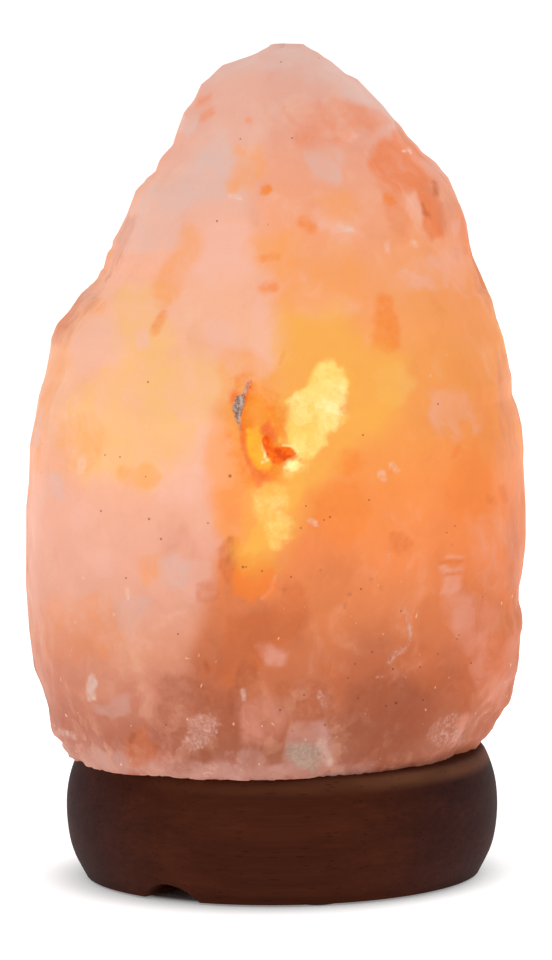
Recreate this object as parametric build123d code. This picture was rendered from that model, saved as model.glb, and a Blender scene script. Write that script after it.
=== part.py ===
# Salt crystal lamp: a block of rock salt on a turned wooden base, with a clip-in lamp holder and a
# small bulb inside.  All sizes are in millimetres, +Z is up, the front of the lamp looks along -Y.
from build123d import *
import math
import os

os.makedirs("parts", exist_ok=True)

# ---------------------------------------------------------------------------------------------
# driving dimensions
# ---------------------------------------------------------------------------------------------
AXIS_X = 0.75            # the base's axis from the middle of the whole lamp's outline
AXIS_Y = 0.0

PAD_PROUD = 0.5          # the felt feet stand this far out of the base
PAD_R, PAD_T, PAD_AT = 4.5, 1.2, 40.0
PAD_ANGLES = (11.2, 101.2, 191.2, 281.2)

BASE_H = 29.0
BASE_Z0 = PAD_PROUD
BASE_TOP = BASE_Z0 + BASE_H
# outside of the turned base: height above its lower rim, radius
BASE_PROFILE = ((0.0, 45.66), (2.5, 46.99), (6.0, 48.61), (10.0, 49.56), (15.0, 50.0),
                (20.0, 49.74), (24.0, 48.87), (27.0, 47.74), (28.6, 46.75), (29.0, 45.9))
HOLE_R = 20.0            # through hole for the holder
RECESS_R, RECESS_TOP = 26.0, 11.5
NOTCH_R, NOTCH_AXIS_Z, NOTCH_ANGLE = 9.0, -4.5, 236.2

SCREW_AT, SCREW_ANGLES = 33.0, (56.2, 176.2, 296.2)
SCREW_SEAT = 4.4         # underside of the washer, in a shallow counterbore
SCREW_END = 46.5
CBORE_R, CLEAR_R = 4.75, 2.3
PLUG_R, PLUG_BORE_R, PLUG_TOP = 3.0, 2.15, 49.2

BORE_R, BORE_STRAIGHT = 22.5, 92.0      # cavity in the block: radius, end of its straight wall

HOLDER_R = 12.0
CAP_Z0, CAP_Z1 = 3.6, 14.0
BODY_Z1 = 46.0
PARTITION_Z0, PARTITION_Z1 = 20.0, 28.0
SHELL_BORE_R = 6.8

THREAD_PITCH = 2.54      # ten turns to the inch
CAP_ROOT_R, CAP_CREST_R = 5.3, 5.85
SHELL_ROOT_R, SHELL_CREST_R = 6.15, 5.6
TERM_X, RIVET_X = 7.5, 4.2

CLIP_X, CLIP_Z = 14.0, 17.5
CLIP_W, CLIP_T = 6.0, 0.6

GLASS_R, GLASS_TOP, GLASS_T = 11.0, 91.0, 0.7


# ---------------------------------------------------------------------------------------------
# helpers
# ---------------------------------------------------------------------------------------------
def lathe(points):
    """Solid of revolution about Z from (radius, height) corners."""
    wire = Polyline(*[(r, 0, z) for r, z in points], close=True)
    return revolve(make_face(wire), Axis.Z)


def rod(r, z0, z1, x=0.0, y=0.0):
    return Pos(x, y, (z0 + z1) / 2) * Cylinder(r, z1 - z0)


def slab(x0, x1, y0, y1, z0, z1):
    return Pos((x0 + x1) / 2, (y0 + y1) / 2, (z0 + z1) / 2) * Box(x1 - x0, y1 - y0, z1 - z0)


def polar(radius, angle):
    a = math.radians(angle)
    return radius * math.cos(a), radius * math.sin(a)


def strip(points, thickness, width):
    """Bent strip: centre line in X-Z, the given thickness, extruded along Y about y = 0."""
    left, right = [], []
    for i, (x, z) in enumerate(points):
        x0, z0 = points[max(i - 1, 0)]
        x1, z1 = points[min(i + 1, len(points) - 1)]
        length = math.hypot(x1 - x0, z1 - z0)
        nx, nz = -(z1 - z0) / length, (x1 - x0) / length
        left.append((x + nx * thickness / 2, z + nz * thickness / 2))
        right.append((x - nx * thickness / 2, z - nz * thickness / 2))
    outline = left + right[::-1]
    face = make_face(Polyline(*[(x, -width / 2, z) for x, z in outline], close=True))
    return extrude(face, width, dir=(0, 1, 0))


def ridge(r_root, r_crest, z0, turns, w_root, w_crest, pitch=THREAD_PITCH):
    """Right-handed helical ridge, from a radius inside the wall it stands on to its crest."""
    path = Helix(pitch=pitch, height=pitch * turns, radius=abs(r_root))
    prof = make_face(Polyline((r_root, 0, -w_root / 2), (r_crest, 0, -w_crest / 2),
                              (r_crest, 0, w_crest / 2), (r_root, 0, w_root / 2), close=True))
    return Pos(0, 0, z0) * sweep(prof, path=path, is_frenet=True)


def wire_run(points, r):
    """Round wire along a polyline with rounded corners."""
    path = Polyline(*points)
    start = Vector(*points[1]) - Vector(*points[0])
    face = Plane(origin=points[0], z_dir=start) * Circle(r)
    return sweep(face, path=path, transition=Transition.ROUND)


def group(shapes):
    solids = []
    for s in shapes:
        solids.extend(s.solids())
    return Compound(solids) if len(solids) > 1 else solids[0]


def save(name, shape):
    shape = group([Pos(AXIS_X, AXIS_Y, 0) * s for s in shape.solids()])
    export_step(shape, "parts/" + name + ".step")
    box = shape.bounding_box()
    print("%-24s solids %2d  faces %5d  vol %10.1f  x %.2f..%.2f  y %.2f..%.2f  z %.2f..%.2f" % (
        name, len(shape.solids()), len(shape.faces()), sum(s.volume for s in shape.solids()),
        box.min.X, box.max.X, box.min.Y, box.max.Y, box.min.Z, box.max.Z), flush=True)


# ---------------------------------------------------------------------------------------------
# the block of rock salt
# ---------------------------------------------------------------------------------------------
# height, left edge, right edge, front edge, back edge
BLOCK_RINGS = (
    (29.5, -50.3, 46.9, -48.4, 46.8),
    (33.4, -52.5, 49.4, -49.9, 48.8),
    (38.3, -53.8, 52.0, -51.2, 50.6),
    (44.0, -55.6, 54.3, -52.6, 52.2),
    (51.0, -57.5, 55.5, -53.6, 53.4),
    (59.0, -58.2, 56.3, -54.3, 53.9),
    (68.0, -58.9, 55.9, -54.6, 54.5),
    (76.0, -58.7, 57.1, -54.8, 54.76),
    (85.0, -58.4, 57.4, -54.7, 54.6),
    (94.0, -57.8, 57.0, -54.2, 54.1),
    (102.8, -56.9, 56.6, -53.0, 53.7),
    (111.0, -55.2, 54.3, -51.2, 52.8),
    (118.0, -53.5, 53.6, -49.2, 51.8),
    (125.0, -52.1, 51.8, -46.9, 50.7),
    (130.0, -50.4, 50.4, -45.0, 49.6),
    (134.6, -45.9, 49.2, -43.1, 48.2),
    (138.8, -41.0, 47.8, -41.2, 46.8),
    (145.0, -39.0, 45.2, -38.0, 44.8),
    (152.4, -34.8, 43.5, -34.0, 42.0),
    (160.6, -30.3, 40.2, -28.8, 38.0),
    (168.8, -24.0, 32.9, -22.6, 32.6),
    (177.1, -20.7, 25.8, -15.6, 26.2),
    (184.0, -16.2, 19.4, -9.2, 19.4),
    (189.3, -6.9, 12.0, -3.0, 12.0),
    (191.7, -0.6, 6.6, 0.6, 7.0),
)
BLOCK_TOP = (3.2, 3.8, 192.3)
BLOCK_COLUMNS = 30
BLOCK_POWER = 2.3

# large hewn faces: outward direction, and how deep the face cuts into the rounded block
BLOCK_FACES = (
    (0.565, -0.808, -0.171, 6.6),      # low right front, runs down to the inset lower edge
    (-0.640, -0.765, 0.070, 2.6),      # left front
    (0.150, -0.970, 0.190, 1.5),       # middle front
    (-0.250, -0.830, 0.500, 2.6),      # upper front
    (0.470, -0.700, 0.538, 3.6),       # upper right front
    (-0.560, -0.470, 0.682, 3.2),      # upper left
    (0.690, 0.640, 0.335, 4.0),        # right back
    (-0.650, 0.740, 0.170, 4.2),       # left back
    (0.050, 0.950, 0.310, 2.4),        # middle back
    (0.360, 0.900, -0.240, 4.6),       # low back
    (-0.480, 0.620, 0.620, 4.0),       # upper left back
    (0.400, 0.560, 0.725, 3.2),        # upper right back
    (-0.780, -0.440, -0.440, 2.2),     # low left
    (0.100, -0.420, 0.902, 1.6),       # front of the crest
)


def jitter(i, k, salt):
    v = math.sin(i * 127.1 + k * 311.7 + salt * 74.7) * 43758.5453
    return (v - math.floor(v)) * 2.0 - 1.0


def rounded_point(i, k):
    """Block before its hewn faces are cut."""
    z, xl, xr, yf, yb = BLOCK_RINGS[k]
    a = 2.0 * math.pi * i / BLOCK_COLUMNS
    c, s = math.cos(a), math.sin(a)
    side = abs(s)                                   # 0 on the left and right outline
    mid, half = (xl + xr) / 2.0, (xr - xl) / 2.0
    cross = (yf + yb) / 2.0
    deep = (yb - yf) / 2.0
    x = math.copysign(abs(c) ** (2.0 / BLOCK_POWER), c) * half
    y = math.copysign(abs(s) ** (2.0 / BLOCK_POWER), s) * deep
    low = max(0.0, 1.0 - (z - 29.5) / 34.0)
    left_front = max(0.0, math.cos(a - math.radians(214.0))) ** 6
    swell = 1.0 + 0.055 * low * left_front
    rough = 0.013 * jitter(i, k, 1) * min(1.0, side * 1.6) if 0 < k else 0.0
    if 0 < k < len(BLOCK_RINGS) - 2 and side > 0.3:
        z += 1.3 * jitter(i, k, 2)
    return x * (swell + rough) + mid, y * (swell + rough) + cross, z


def make_block():
    n = BLOCK_COLUMNS
    rings = [[rounded_point(i, k) for i in range(n)] for k in range(len(BLOCK_RINGS))]
    planes = []
    for nx, ny, nz, cut in BLOCK_FACES:
        ln = math.sqrt(nx * nx + ny * ny + nz * nz)
        nx, ny, nz = nx / ln, ny / ln, nz / ln
        reach = max(x * nx + y * ny + z * nz for ring in rings for x, y, z in ring)
        planes.append((nx, ny, nz, reach - cut))
    for k, ring in enumerate(rings):
        for i, (x, y, z) in enumerate(ring):
            for nx, ny, nz, d in planes:
                over = x * nx + y * ny + z * nz - d
                if over > 0:
                    if k == 0:                      # the lower edge stays in its flat plane
                        flat = nx * nx + ny * ny
                        x, y = x - over * nx / flat, y - over * ny / flat
                    else:
                        x, y, z = x - over * nx, y - over * ny, z - over * nz
            ring[i] = (x, y, z)
    tri = []
    for k in range(len(rings) - 1):
        lo, hi = rings[k], rings[k + 1]
        for i in range(n):
            j = (i + 1) % n
            if (i + k) % 2:
                tri.append((lo[i], lo[j], hi[j]))
                tri.append((lo[i], hi[j], hi[i]))
            else:
                tri.append((lo[i], lo[j], hi[i]))
                tri.append((lo[j], hi[j], hi[i]))
    top = rings[-1]
    for i in range(n):
        tri.append((top[i], top[(i + 1) % n], BLOCK_TOP))
    faces = [Face(Wire.make_polygon([Vector(*p) for p in t], close=True)) for t in tri]
    faces.append(Face(Wire.make_polygon([Vector(*p) for p in rings[0][::-1]], close=True)))
    return Solid(Shell(faces))


block = make_block()
print("block valid", block.is_valid, "volume", block.volume, flush=True)
# chipped pit in the middle of the front
pit = Pos(-3.6, -54.0, 90.0) * Rot(0, 9, -10) * Box(9.0, 8.0, 21.0)
block = block - pit
# drilled cavity with a round end, and the holes for the wall plugs
cavity = rod(BORE_R, BASE_TOP - 1.0, BORE_STRAIGHT) + Pos(0, 0, BORE_STRAIGHT) * Sphere(BORE_R)
block = block - cavity
for ang in SCREW_ANGLES:
    px, py = polar(SCREW_AT, ang)
    block = block - rod(PLUG_R, BASE_TOP - 1.0, PLUG_TOP + 0.6, px, py)
save("salt_crystal", block.solids().sort_by(SortBy.VOLUME)[-1])

# ---------------------------------------------------------------------------------------------
# the turned wooden base
# ---------------------------------------------------------------------------------------------
outer = [(r, 0, BASE_Z0 + z) for z, r in BASE_PROFILE]
side_curve = Spline(*outer)
side_line = Polyline(outer[-1], (HOLE_R + 0.8, 0, BASE_TOP), (HOLE_R, 0, BASE_TOP - 0.8),
                     (HOLE_R, 0, RECESS_TOP), (RECESS_R, 0, RECESS_TOP),
                     (RECESS_R, 0, BASE_Z0 + 0.6), (RECESS_R + 0.6, 0, BASE_Z0), outer[0])
base = revolve(make_face([side_curve, *side_line.edges()]), Axis.Z)
nx, ny = polar(41.0, NOTCH_ANGLE)
base = base - Pos(nx, ny, NOTCH_AXIS_Z) * Rot(0, 0, NOTCH_ANGLE) * Rot(0, 90, 0) * Cylinder(NOTCH_R, 34.0)
for ang in SCREW_ANGLES:
    px, py = polar(SCREW_AT, ang)
    base = base - rod(CBORE_R, BASE_Z0 - 1.0, SCREW_SEAT, px, py)
    base = base - rod(CLEAR_R, SCREW_SEAT - 1.0, BASE_TOP + 1.0, px, py)
for ang in PAD_ANGLES:
    px, py = polar(PAD_AT, ang)
    base = base - rod(PAD_R + 0.1, BASE_Z0 - 1.0, PAD_T, px, py)
save("wood_base", base)

# felt feet with softened lower edges
pads = []
for ang in PAD_ANGLES:
    px, py = polar(PAD_AT, ang)
    pads.append(Pos(px, py, 0) * lathe(((0, 0), (PAD_R - 0.2, 0), (PAD_R, 0.2), (PAD_R, PAD_T), (0, PAD_T))))
save("felt_pads", group(pads))

# ---------------------------------------------------------------------------------------------
# screws, washers and plugs that hold the block
# ---------------------------------------------------------------------------------------------
HEAD_TOP = SCREW_SEAT - 1.0
head = lathe(((0, HEAD_TOP - 2.8), (2.2, HEAD_TOP - 2.7), (3.4, HEAD_TOP - 2.1), (3.9, HEAD_TOP - 1.1),
              (3.9, HEAD_TOP), (0, HEAD_TOP)))
core = lathe(((0, HEAD_TOP - 0.2), (2.05, HEAD_TOP - 0.2), (2.05, 30.0), (1.6, 31.0), (1.5, SCREW_END - 5.0),
              (0.15, SCREW_END), (0, SCREW_END)))
thread = ridge(1.45, 2.05, 31.6, 6, 0.9, 0.25, pitch=1.7)
one_screw = head + core + thread
one_screw = one_screw - slab(-2.3, 2.3, -0.45, 0.45, HEAD_TOP - 3.2, HEAD_TOP - 1.3)
one_screw = one_screw - slab(-0.45, 0.45, -2.3, 2.3, HEAD_TOP - 3.2, HEAD_TOP - 1.3)
one_washer = lathe(((2.35, HEAD_TOP), (4.5, HEAD_TOP), (4.5, SCREW_SEAT), (2.35, SCREW_SEAT)))
one_plug = lathe(((PLUG_BORE_R, BASE_TOP + 0.1), (PLUG_R - 0.05, BASE_TOP + 0.1), (PLUG_R - 0.05, PLUG_TOP - 1.0),
                  (PLUG_R - 0.5, PLUG_TOP), (PLUG_BORE_R, PLUG_TOP)))
one_plug = one_plug - slab(-4, 4, -0.35, 0.35, BASE_TOP + 6.0, PLUG_TOP + 1)
for k in range(4):
    one_plug = one_plug - lathe(((2.7, BASE_TOP + 3.0 + 3.6 * k), (4.0, BASE_TOP + 3.0 + 3.6 * k),
                                 (4.0, BASE_TOP + 4.0 + 3.6 * k), (2.7, BASE_TOP + 4.0 + 3.6 * k)))
screws, washers, plugs = [], [], []
for ang in SCREW_ANGLES:
    px, py = polar(SCREW_AT, ang)
    place = Pos(px, py, 0) * Rot(0, 0, ang + 20.0)
    screws.append(place * one_screw)
    washers.append(place * one_washer)
    plugs.append(place * one_plug)
save("base_fixing_screws", group(screws))
save("screw_washers", group(washers))
save("salt_wall_plugs", group(plugs))

# ---------------------------------------------------------------------------------------------
# lamp holder
# ---------------------------------------------------------------------------------------------
BOSS_Y = 7.4
body = rod(HOLDER_R, CAP_Z1, BODY_Z1)
body = chamfer(body.edges().filter_by(GeomType.CIRCLE).group_by(Axis.Z)[-1], 0.8)
body = body - rod(SHELL_BORE_R, PARTITION_Z1, BODY_Z1 + 1)
body = body - lathe(((SHELL_BORE_R - 0.5, BODY_Z1 - 0.3), (SHELL_BORE_R + 1.0, BODY_Z1 + 1.0), (0, BODY_Z1 + 1.0),
                     (0, BODY_Z1 - 0.3)))
chamber = rod(9.6, CAP_Z1 - 1, PARTITION_Z0)
for sy in (-1, 1):
    chamber = chamber - rod(2.7, CAP_Z1 - 2, PARTITION_Z0 + 1, 0, sy * BOSS_Y)
body = body - chamber
spigot = rod(9.85, CAP_Z1 - 2.0, CAP_Z1 + 0.2) - rod(8.9, CAP_Z1 - 3.0, CAP_Z1 + 1.0)
for sy in (-1, 1):
    spigot = spigot - slab(-3.4, 3.4, sy * 8.0 - 3.2, sy * 8.0 + 3.2, CAP_Z1 - 3.0, CAP_Z1)
body = body + spigot
for sx in (-1, 1):
    body = body - rod(1.05, PARTITION_Z0 - 1, PARTITION_Z1 + 1, sx * RIVET_X, 0)
    body = body - rod(1.5, PARTITION_Z0 - 1, PARTITION_Z0 + 3.0, sx * TERM_X, 0)
for sy in (-1, 1):
    body = body - rod(1.25, CAP_Z1 - 1, PARTITION_Z0 - 0.5, 0, sy * BOSS_Y)
    body = body - Pos(0, sy * 11.4, CLIP_Z) * Rot(90, 0, 0) * Cylinder(0.95, 4.6)
# grip flutes round the upper half
for k in range(16):
    fx, fy = polar(HOLDER_R + 0.55, 22.5 * k + 11.25)
    body = body - rod(0.9, 24.0, BODY_Z1 - 3.0, fx, fy)
save("lamp_holder_body", body)

cap = rod(HOLDER_R, CAP_Z0, CAP_Z1)
cap = chamfer(cap.edges().filter_by(GeomType.CIRCLE).group_by(Axis.Z)[0], 1.2)
hollow = rod(10.0, CAP_Z0 + 1.5, CAP_Z1 + 1)
for sy in (-1, 1):
    hollow = hollow - rod(2.7, CAP_Z0, CAP_Z1 + 2, 0, sy * BOSS_Y)
cap = cap - hollow
for sy in (-1, 1):
    cap = cap - rod(1.4, CAP_Z0 - 1, CAP_Z1 + 1, 0, sy * BOSS_Y)
    cap = cap - rod(2.4, CAP_Z0 - 1, CAP_Z0 + 1.9, 0, sy * BOSS_Y)
ix, iy = polar(11.0, NOTCH_ANGLE)
inlet = Pos(ix, iy, 8.9) * Rot(0, 0, NOTCH_ANGLE) * Rot(0, 90, 0) * Cylinder(3.0, 6.0)
cap = cap - inlet
save("lamp_holder_cap", cap)

one_cap_screw = rod(2.2, CAP_Z0 + 0.3, CAP_Z0 + 1.9) + rod(1.2, CAP_Z0 + 1.8, 18.6)
one_cap_screw = one_cap_screw - slab(-3, 3, -0.3, 0.3, CAP_Z0 - 0.5, CAP_Z0 + 1.0)
save("holder_cap_screws", group([Pos(0, sy * BOSS_Y, 0) * Rot(0, 0, 35 + 50 * sy) * one_cap_screw for sy in (-1, 1)]))

# brass thread shell with an inward helical ridge and a riveted lug
THREAD_Z = 31.6
shell = rod(SHELL_ROOT_R + 0.4, 28.05, 45.0) - rod(SHELL_ROOT_R, 27.0, 46.0)
shell_ridge = ridge(SHELL_ROOT_R + 0.15, SHELL_CREST_R, THREAD_Z + THREAD_PITCH / 2, 4.5, 0.95, 0.6)
shell = shell + shell_ridge
lug = slab(2.3, SHELL_ROOT_R + 0.2, -1.8, 1.8, 28.05, 28.6) - rod(1.05, 27, 30, RIVET_X, 0)
shell = shell + lug
save("thread_shell", shell)

foot = slab(-5.7, -3.1, -1.6, 1.6, 28.05, 28.6) - rod(1.05, 27, 30, -RIVET_X, 0)
save("centre_contact_foot", foot)
tongue = strip(((-2.55, 28.4), (-1.2, 28.95), (-0.3, 29.45), (0.3, 29.62), (0.9, 29.45), (1.4, 29.05)), 0.3, 2.6)
tongue = tongue + Pos(-2.55, 0, 28.4) * Rot(90, 0, 0) * Cylinder(0.25, 2.6)
save("centre_contact_tongue", tongue)

rivets = []
for sx in (-1, 1):
    rivets.append(rod(1.0, 18.4, 29.0, sx * RIVET_X, 0) + rod(1.45, 28.6, 29.1, sx * RIVET_X, 0)
                  + rod(1.3, 18.4, 19.2, sx * RIVET_X, 0))
save("contact_rivets", group(rivets))

plates, tscrews = [], []
for sx in (-1, 1):
    x0, x1 = (2.4, 9.3) if sx > 0 else (-9.3, -2.4)
    plate = slab(x0, x1, -2.1, 2.1, 19.2, 20.0)
    plate = plate & rod(9.5, 19.0, 20.5)
    plate = plate - rod(1.05, 18, 21, sx * RIVET_X, 0) - rod(1.25, 18, 21, sx * TERM_X, 0)
    plates.append(plate)
    ts = rod(1.85, 16.7, 18.3, sx * TERM_X, 0) + rod(1.2, 18.0, 22.4, sx * TERM_X, 0)
    ts = ts - (Pos(sx * TERM_X, 0, 0) * Rot(0, 0, 30 * sx) * slab(-3, 3, -0.3, 0.3, 16.0, 17.3))
    tscrews.append(ts)
save("terminal_plates", group(plates))
save("terminal_screws", group(tscrews))

# spring-steel strap and its two arms
strap = rod(HOLDER_R + 0.6, CLIP_Z - 2.7, CLIP_Z + 2.7) - rod(HOLDER_R + 0.05, CLIP_Z - 4, CLIP_Z + 4)
for sx in (-1, 1):
    x0, x1 = sorted((sx * (HOLDER_R + 0.3), sx * 13.3))
    strap = strap + (slab(x0, x1, -CLIP_W / 2, CLIP_W / 2, CLIP_Z - 0.3, CLIP_Z + 0.3)
                     - rod(HOLDER_R + 0.05, CLIP_Z - 4, CLIP_Z + 4))
for sy in (-1, 1):
    strap = strap - Pos(0, sy * 12.4, CLIP_Z) * Rot(90, 0, 0) * Cylinder(0.95, 3.0)
save("clip_strap", strap)

srivets = []
for sy in (-1, 1):
    pin = Pos(0, sy * 11.2, CLIP_Z) * Rot(90, 0, 0) * Cylinder(0.9, 3.8)
    knob = Pos(0, sy * 12.95, CLIP_Z) * Rot(90, 0, 0) * Cylinder(1.6, 0.5)
    srivets.append(pin + knob)
save("clip_rivets", group(srivets))

ARM = ((14.0, 17.5), (14.9, 18.4), (16.2, 20.0), (17.5, 22.0), (18.5, 24.4), (19.0, 26.8), (19.0, 29.0), (18.6, 31.4),
       (17.9, 34.0), (17.1, 36.4), (16.5, 38.2), (16.7, 39.4), (17.5, 40.2))
arm = strip(ARM, CLIP_T, CLIP_W) + Pos(CLIP_X, 0, CLIP_Z) * Rot(90, 0, 0) * Cylinder(0.5, CLIP_W)
save("clip_arm_right", arm)
save("clip_arm_left", mirror(arm, Plane.YZ))

# ---------------------------------------------------------------------------------------------
# bulb
# ---------------------------------------------------------------------------------------------
def envelope(off):
    """Bulb outline drawn inwards by off, as a solid of revolution."""
    r = GLASS_R - off
    neck = 4.7 - off
    zt = GLASS_TOP - off
    curve = Spline((neck, 0, 46.4), (neck + 0.25, 0, 48.0), (neck + 2.2, 0, 51.2), (r - 1.0, 0, 55.6), (r, 0, 60.0),
                   tangents=((0, 0, 1), (0, 0, 1)))
    straight = Line((r, 0, 60.0), (r, 0, 80.0))
    dome = Spline((r, 0, 80.0), (r * 0.94, 0, 80.0 + (zt - 80.0) * 0.42), (r * 0.6, 0, 80.0 + (zt - 80.0) * 0.84),
                  (0, 0, zt), tangents=((0, 0, 1), (-1, 0, 0)))
    z0 = 41.0 - (1.0 if off else 0.0)
    rest = Polyline((0, 0, zt), (0, 0, z0), (neck, 0, z0), (neck, 0, 46.4))
    return revolve(make_face([curve, straight, dome, *rest.edges()]), Axis.Z)


glass = envelope(0.0) - envelope(GLASS_T)
save("bulb_glass", glass)

screw_cap = lathe(((5.0, 32.0), (5.3, 32.0), (5.3, 45.4), (5.75, 45.9), (5.75, 46.6), (5.45, 46.6), (5.0, 46.0)))
screw_cap = screw_cap + ridge(CAP_ROOT_R - 0.12, CAP_CREST_R, THREAD_Z + THREAD_PITCH * 0.5 + THREAD_PITCH / 2, 4.4, 0.95, 0.6)
save("bulb_screw_cap", screw_cap)

insulator = lathe(((0, 30.3), (2.4, 30.3), (4.95, 31.7), (4.95, 33.4), (0, 33.4)))
save("bulb_insulator", insulator)
tip = lathe(((0, 29.95), (0.9, 29.97), (1.6, 30.05), (2.1, 30.2), (2.1, 30.25), (0, 30.25)))
save("bulb_contact_tip", tip)

stem = lathe(((0, 41.05), (3.95, 41.05), (3.95, 41.8), (2.3, 43.0), (1.9, 45.0), (1.9, 53.0), (1.2, 55.2), (0.9, 56.0),
              (0.9, 63.0), (1.4, 63.6), (1.4, 64.6), (0.9, 65.2), (0, 65.2)))
stem = stem + slab(-2.9, 2.9, -1.0, 1.0, 50.0, 55.0)
save("bulb_stem", stem)

leads = []
for sx in (-1, 1):
    leads.append(wire_run([(sx * 2.3, 0, 55.05), (sx * 2.6, 0, 58.0), (sx * 4.8, 0, 68.0)], 0.25))
save("filament_lead_wires", group(leads))

FIL = [(-4.8, 0.0, 68.3), (-3.7, -2.9, 74.0), (0.0, -4.7, 74.6), (3.7, -2.9, 74.0), (4.8, 0.0, 68.3)]
filament = wire_run(FIL, 0.2)
save("filament", filament)
supports = []
for x, y, z in FIL[1:4]:
    sc = 1.65 / math.hypot(x, y)
    supports.append(wire_run([(x * sc, y * sc, 64.2), (x * 0.9, y * 0.9, z - 0.5)], 0.14))
save("filament_supports", group(supports))
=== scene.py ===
# Looks of the salt crystal lamp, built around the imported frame.  Lengths in the helper code are in
# millimetres until a mesh is made; the frame is in metres, +Z up, the lamp's front looks along -Y.
import math

import bmesh
import bpy
import numpy as np
from mathutils import Matrix, Vector
from mathutils.bvhtree import BVHTree


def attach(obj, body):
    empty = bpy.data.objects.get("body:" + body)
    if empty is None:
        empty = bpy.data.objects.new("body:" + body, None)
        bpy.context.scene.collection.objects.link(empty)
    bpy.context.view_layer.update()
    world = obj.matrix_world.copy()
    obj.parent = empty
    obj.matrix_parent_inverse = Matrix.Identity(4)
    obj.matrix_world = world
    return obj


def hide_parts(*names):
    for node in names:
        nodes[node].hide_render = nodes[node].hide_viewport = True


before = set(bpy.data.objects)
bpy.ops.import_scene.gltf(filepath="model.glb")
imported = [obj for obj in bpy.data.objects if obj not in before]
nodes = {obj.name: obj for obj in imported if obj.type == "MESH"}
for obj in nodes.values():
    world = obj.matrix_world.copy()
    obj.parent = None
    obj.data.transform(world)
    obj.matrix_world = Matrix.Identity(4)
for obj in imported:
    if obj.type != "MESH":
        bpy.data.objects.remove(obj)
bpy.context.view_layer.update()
MM = 0.001
AXIS_X = 0.75            # the shared vertical axis of base, bore, holder and bulb

# =============================================================================================
# small noise library
# =============================================================================================


def lattice(ix, iy, iz, seed):
    """Repeatable number from 0 to 1 for each whole-number cell."""
    with np.errstate(over="ignore"):
        h = (ix.astype(np.uint32) * np.uint32(374761393)) ^ (iy.astype(np.uint32) * np.uint32(668265263))
        h = h ^ (iz.astype(np.uint32) * np.uint32(2246822519)) ^ np.uint32((seed * 3266489917 + 97) & 0xFFFFFFFF)
        h = (h ^ (h >> np.uint32(15))) * np.uint32(2654435761)
        h = (h ^ (h >> np.uint32(13))) * np.uint32(3266489917)
        h = h ^ (h >> np.uint32(16))
    return h.astype(np.float64) / 4294967295.0


def value_noise(p, scale, seed):
    q = p / scale
    i = np.floor(q).astype(np.int64)
    f = q - i
    w = f * f * f * (f * (f * 6 - 15) + 10)
    total = np.zeros(len(p))
    for dx in (0, 1):
        wx = w[:, 0] if dx else 1 - w[:, 0]
        for dy in (0, 1):
            wy = w[:, 1] if dy else 1 - w[:, 1]
            for dz in (0, 1):
                wz = w[:, 2] if dz else 1 - w[:, 2]
                total += wx * wy * wz * lattice(i[:, 0] + dx, i[:, 1] + dy, i[:, 2] + dz, seed)
    return total * 2 - 1


def fbm(p, scale, octaves, seed, gain=0.5):
    out, amp, norm = np.zeros(len(p)), 1.0, 0.0
    for o in range(octaves):
        out += amp * value_noise(p + 17.3 * o, scale / 2.0 ** o, seed + 11 * o)
        norm += amp
        amp *= gain
    return out / norm


def cells(p, scale, seed, jitter=0.7):
    """For each of the 27 cells round every point: the offset in mm to its seed, and the cell's indices."""
    q = p / scale
    base = np.floor(q).astype(np.int64)
    for dx in (-1, 0, 1):
        for dy in (-1, 0, 1):
            for dz in (-1, 0, 1):
                c = base + np.array((dx, dy, dz))
                s = np.stack([lattice(c[:, 0], c[:, 1], c[:, 2], seed + k) for k in (1, 2, 3)], 1)
                s = 0.5 + (s - 0.5) * jitter
                yield (q - (c + s)) * scale, c


def chipped(p, scale, hollow, tilt, soft, seed):
    """Height of flat or slightly hollow chips with ridges between them: the lowest of tilted bowls."""
    acc = np.zeros(len(p))
    for d, c in cells(p, scale, seed):
        g = np.stack([lattice(c[:, 0], c[:, 1], c[:, 2], seed + k) * 2 - 1 for k in (4, 5, 6)], 1) * tilt
        v = (d * d).sum(1) / (2 * hollow) + (d * g).sum(1)
        acc += np.exp(-v / soft)
    return -soft * np.log(acc)


def smooth(x, lo, hi):
    t = np.clip((x - lo) / (hi - lo), 0.0, 1.0)
    return t * t * (3 - 2 * t)


def blurred(v, sigma):
    """A list of numbers smoothed along its length, its ends held."""
    n = int(3 * sigma) + 1
    k = np.exp(-0.5 * (np.arange(-n, n + 1) / sigma) ** 2)
    return np.convolve(np.pad(v, n, mode="edge"), k / k.sum(), mode="valid")


def depth_inside(x, z, corners):
    """Signed distance in mm to a closed outline: positive inside it."""
    d2 = np.full(x.shape, 1e9)
    inside = np.zeros(x.shape, bool)
    n = len(corners)
    for i in range(n):
        (ax, az), (bx, bz) = corners[i], corners[(i + 1) % n]
        ex, ez = bx - ax, bz - az
        t = np.clip(((x - ax) * ex + (z - az) * ez) / (ex * ex + ez * ez), 0, 1)
        d2 = np.minimum(d2, (x - ax - t * ex) ** 2 + (z - az - t * ez) ** 2)
        if az != bz:
            inside ^= ((az > z) != (bz > z)) & (x < (bx - ax) * (z - az) / (bz - az) + ax)
    return np.where(inside, 1.0, -1.0) * np.sqrt(d2)


# =============================================================================================
# the block of rock salt (millimetres, measured from the shared vertical axis)
# =============================================================================================
# viewpoint of the photograph
EYE = np.array((-0.54, -1400.0, 252.9))
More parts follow.
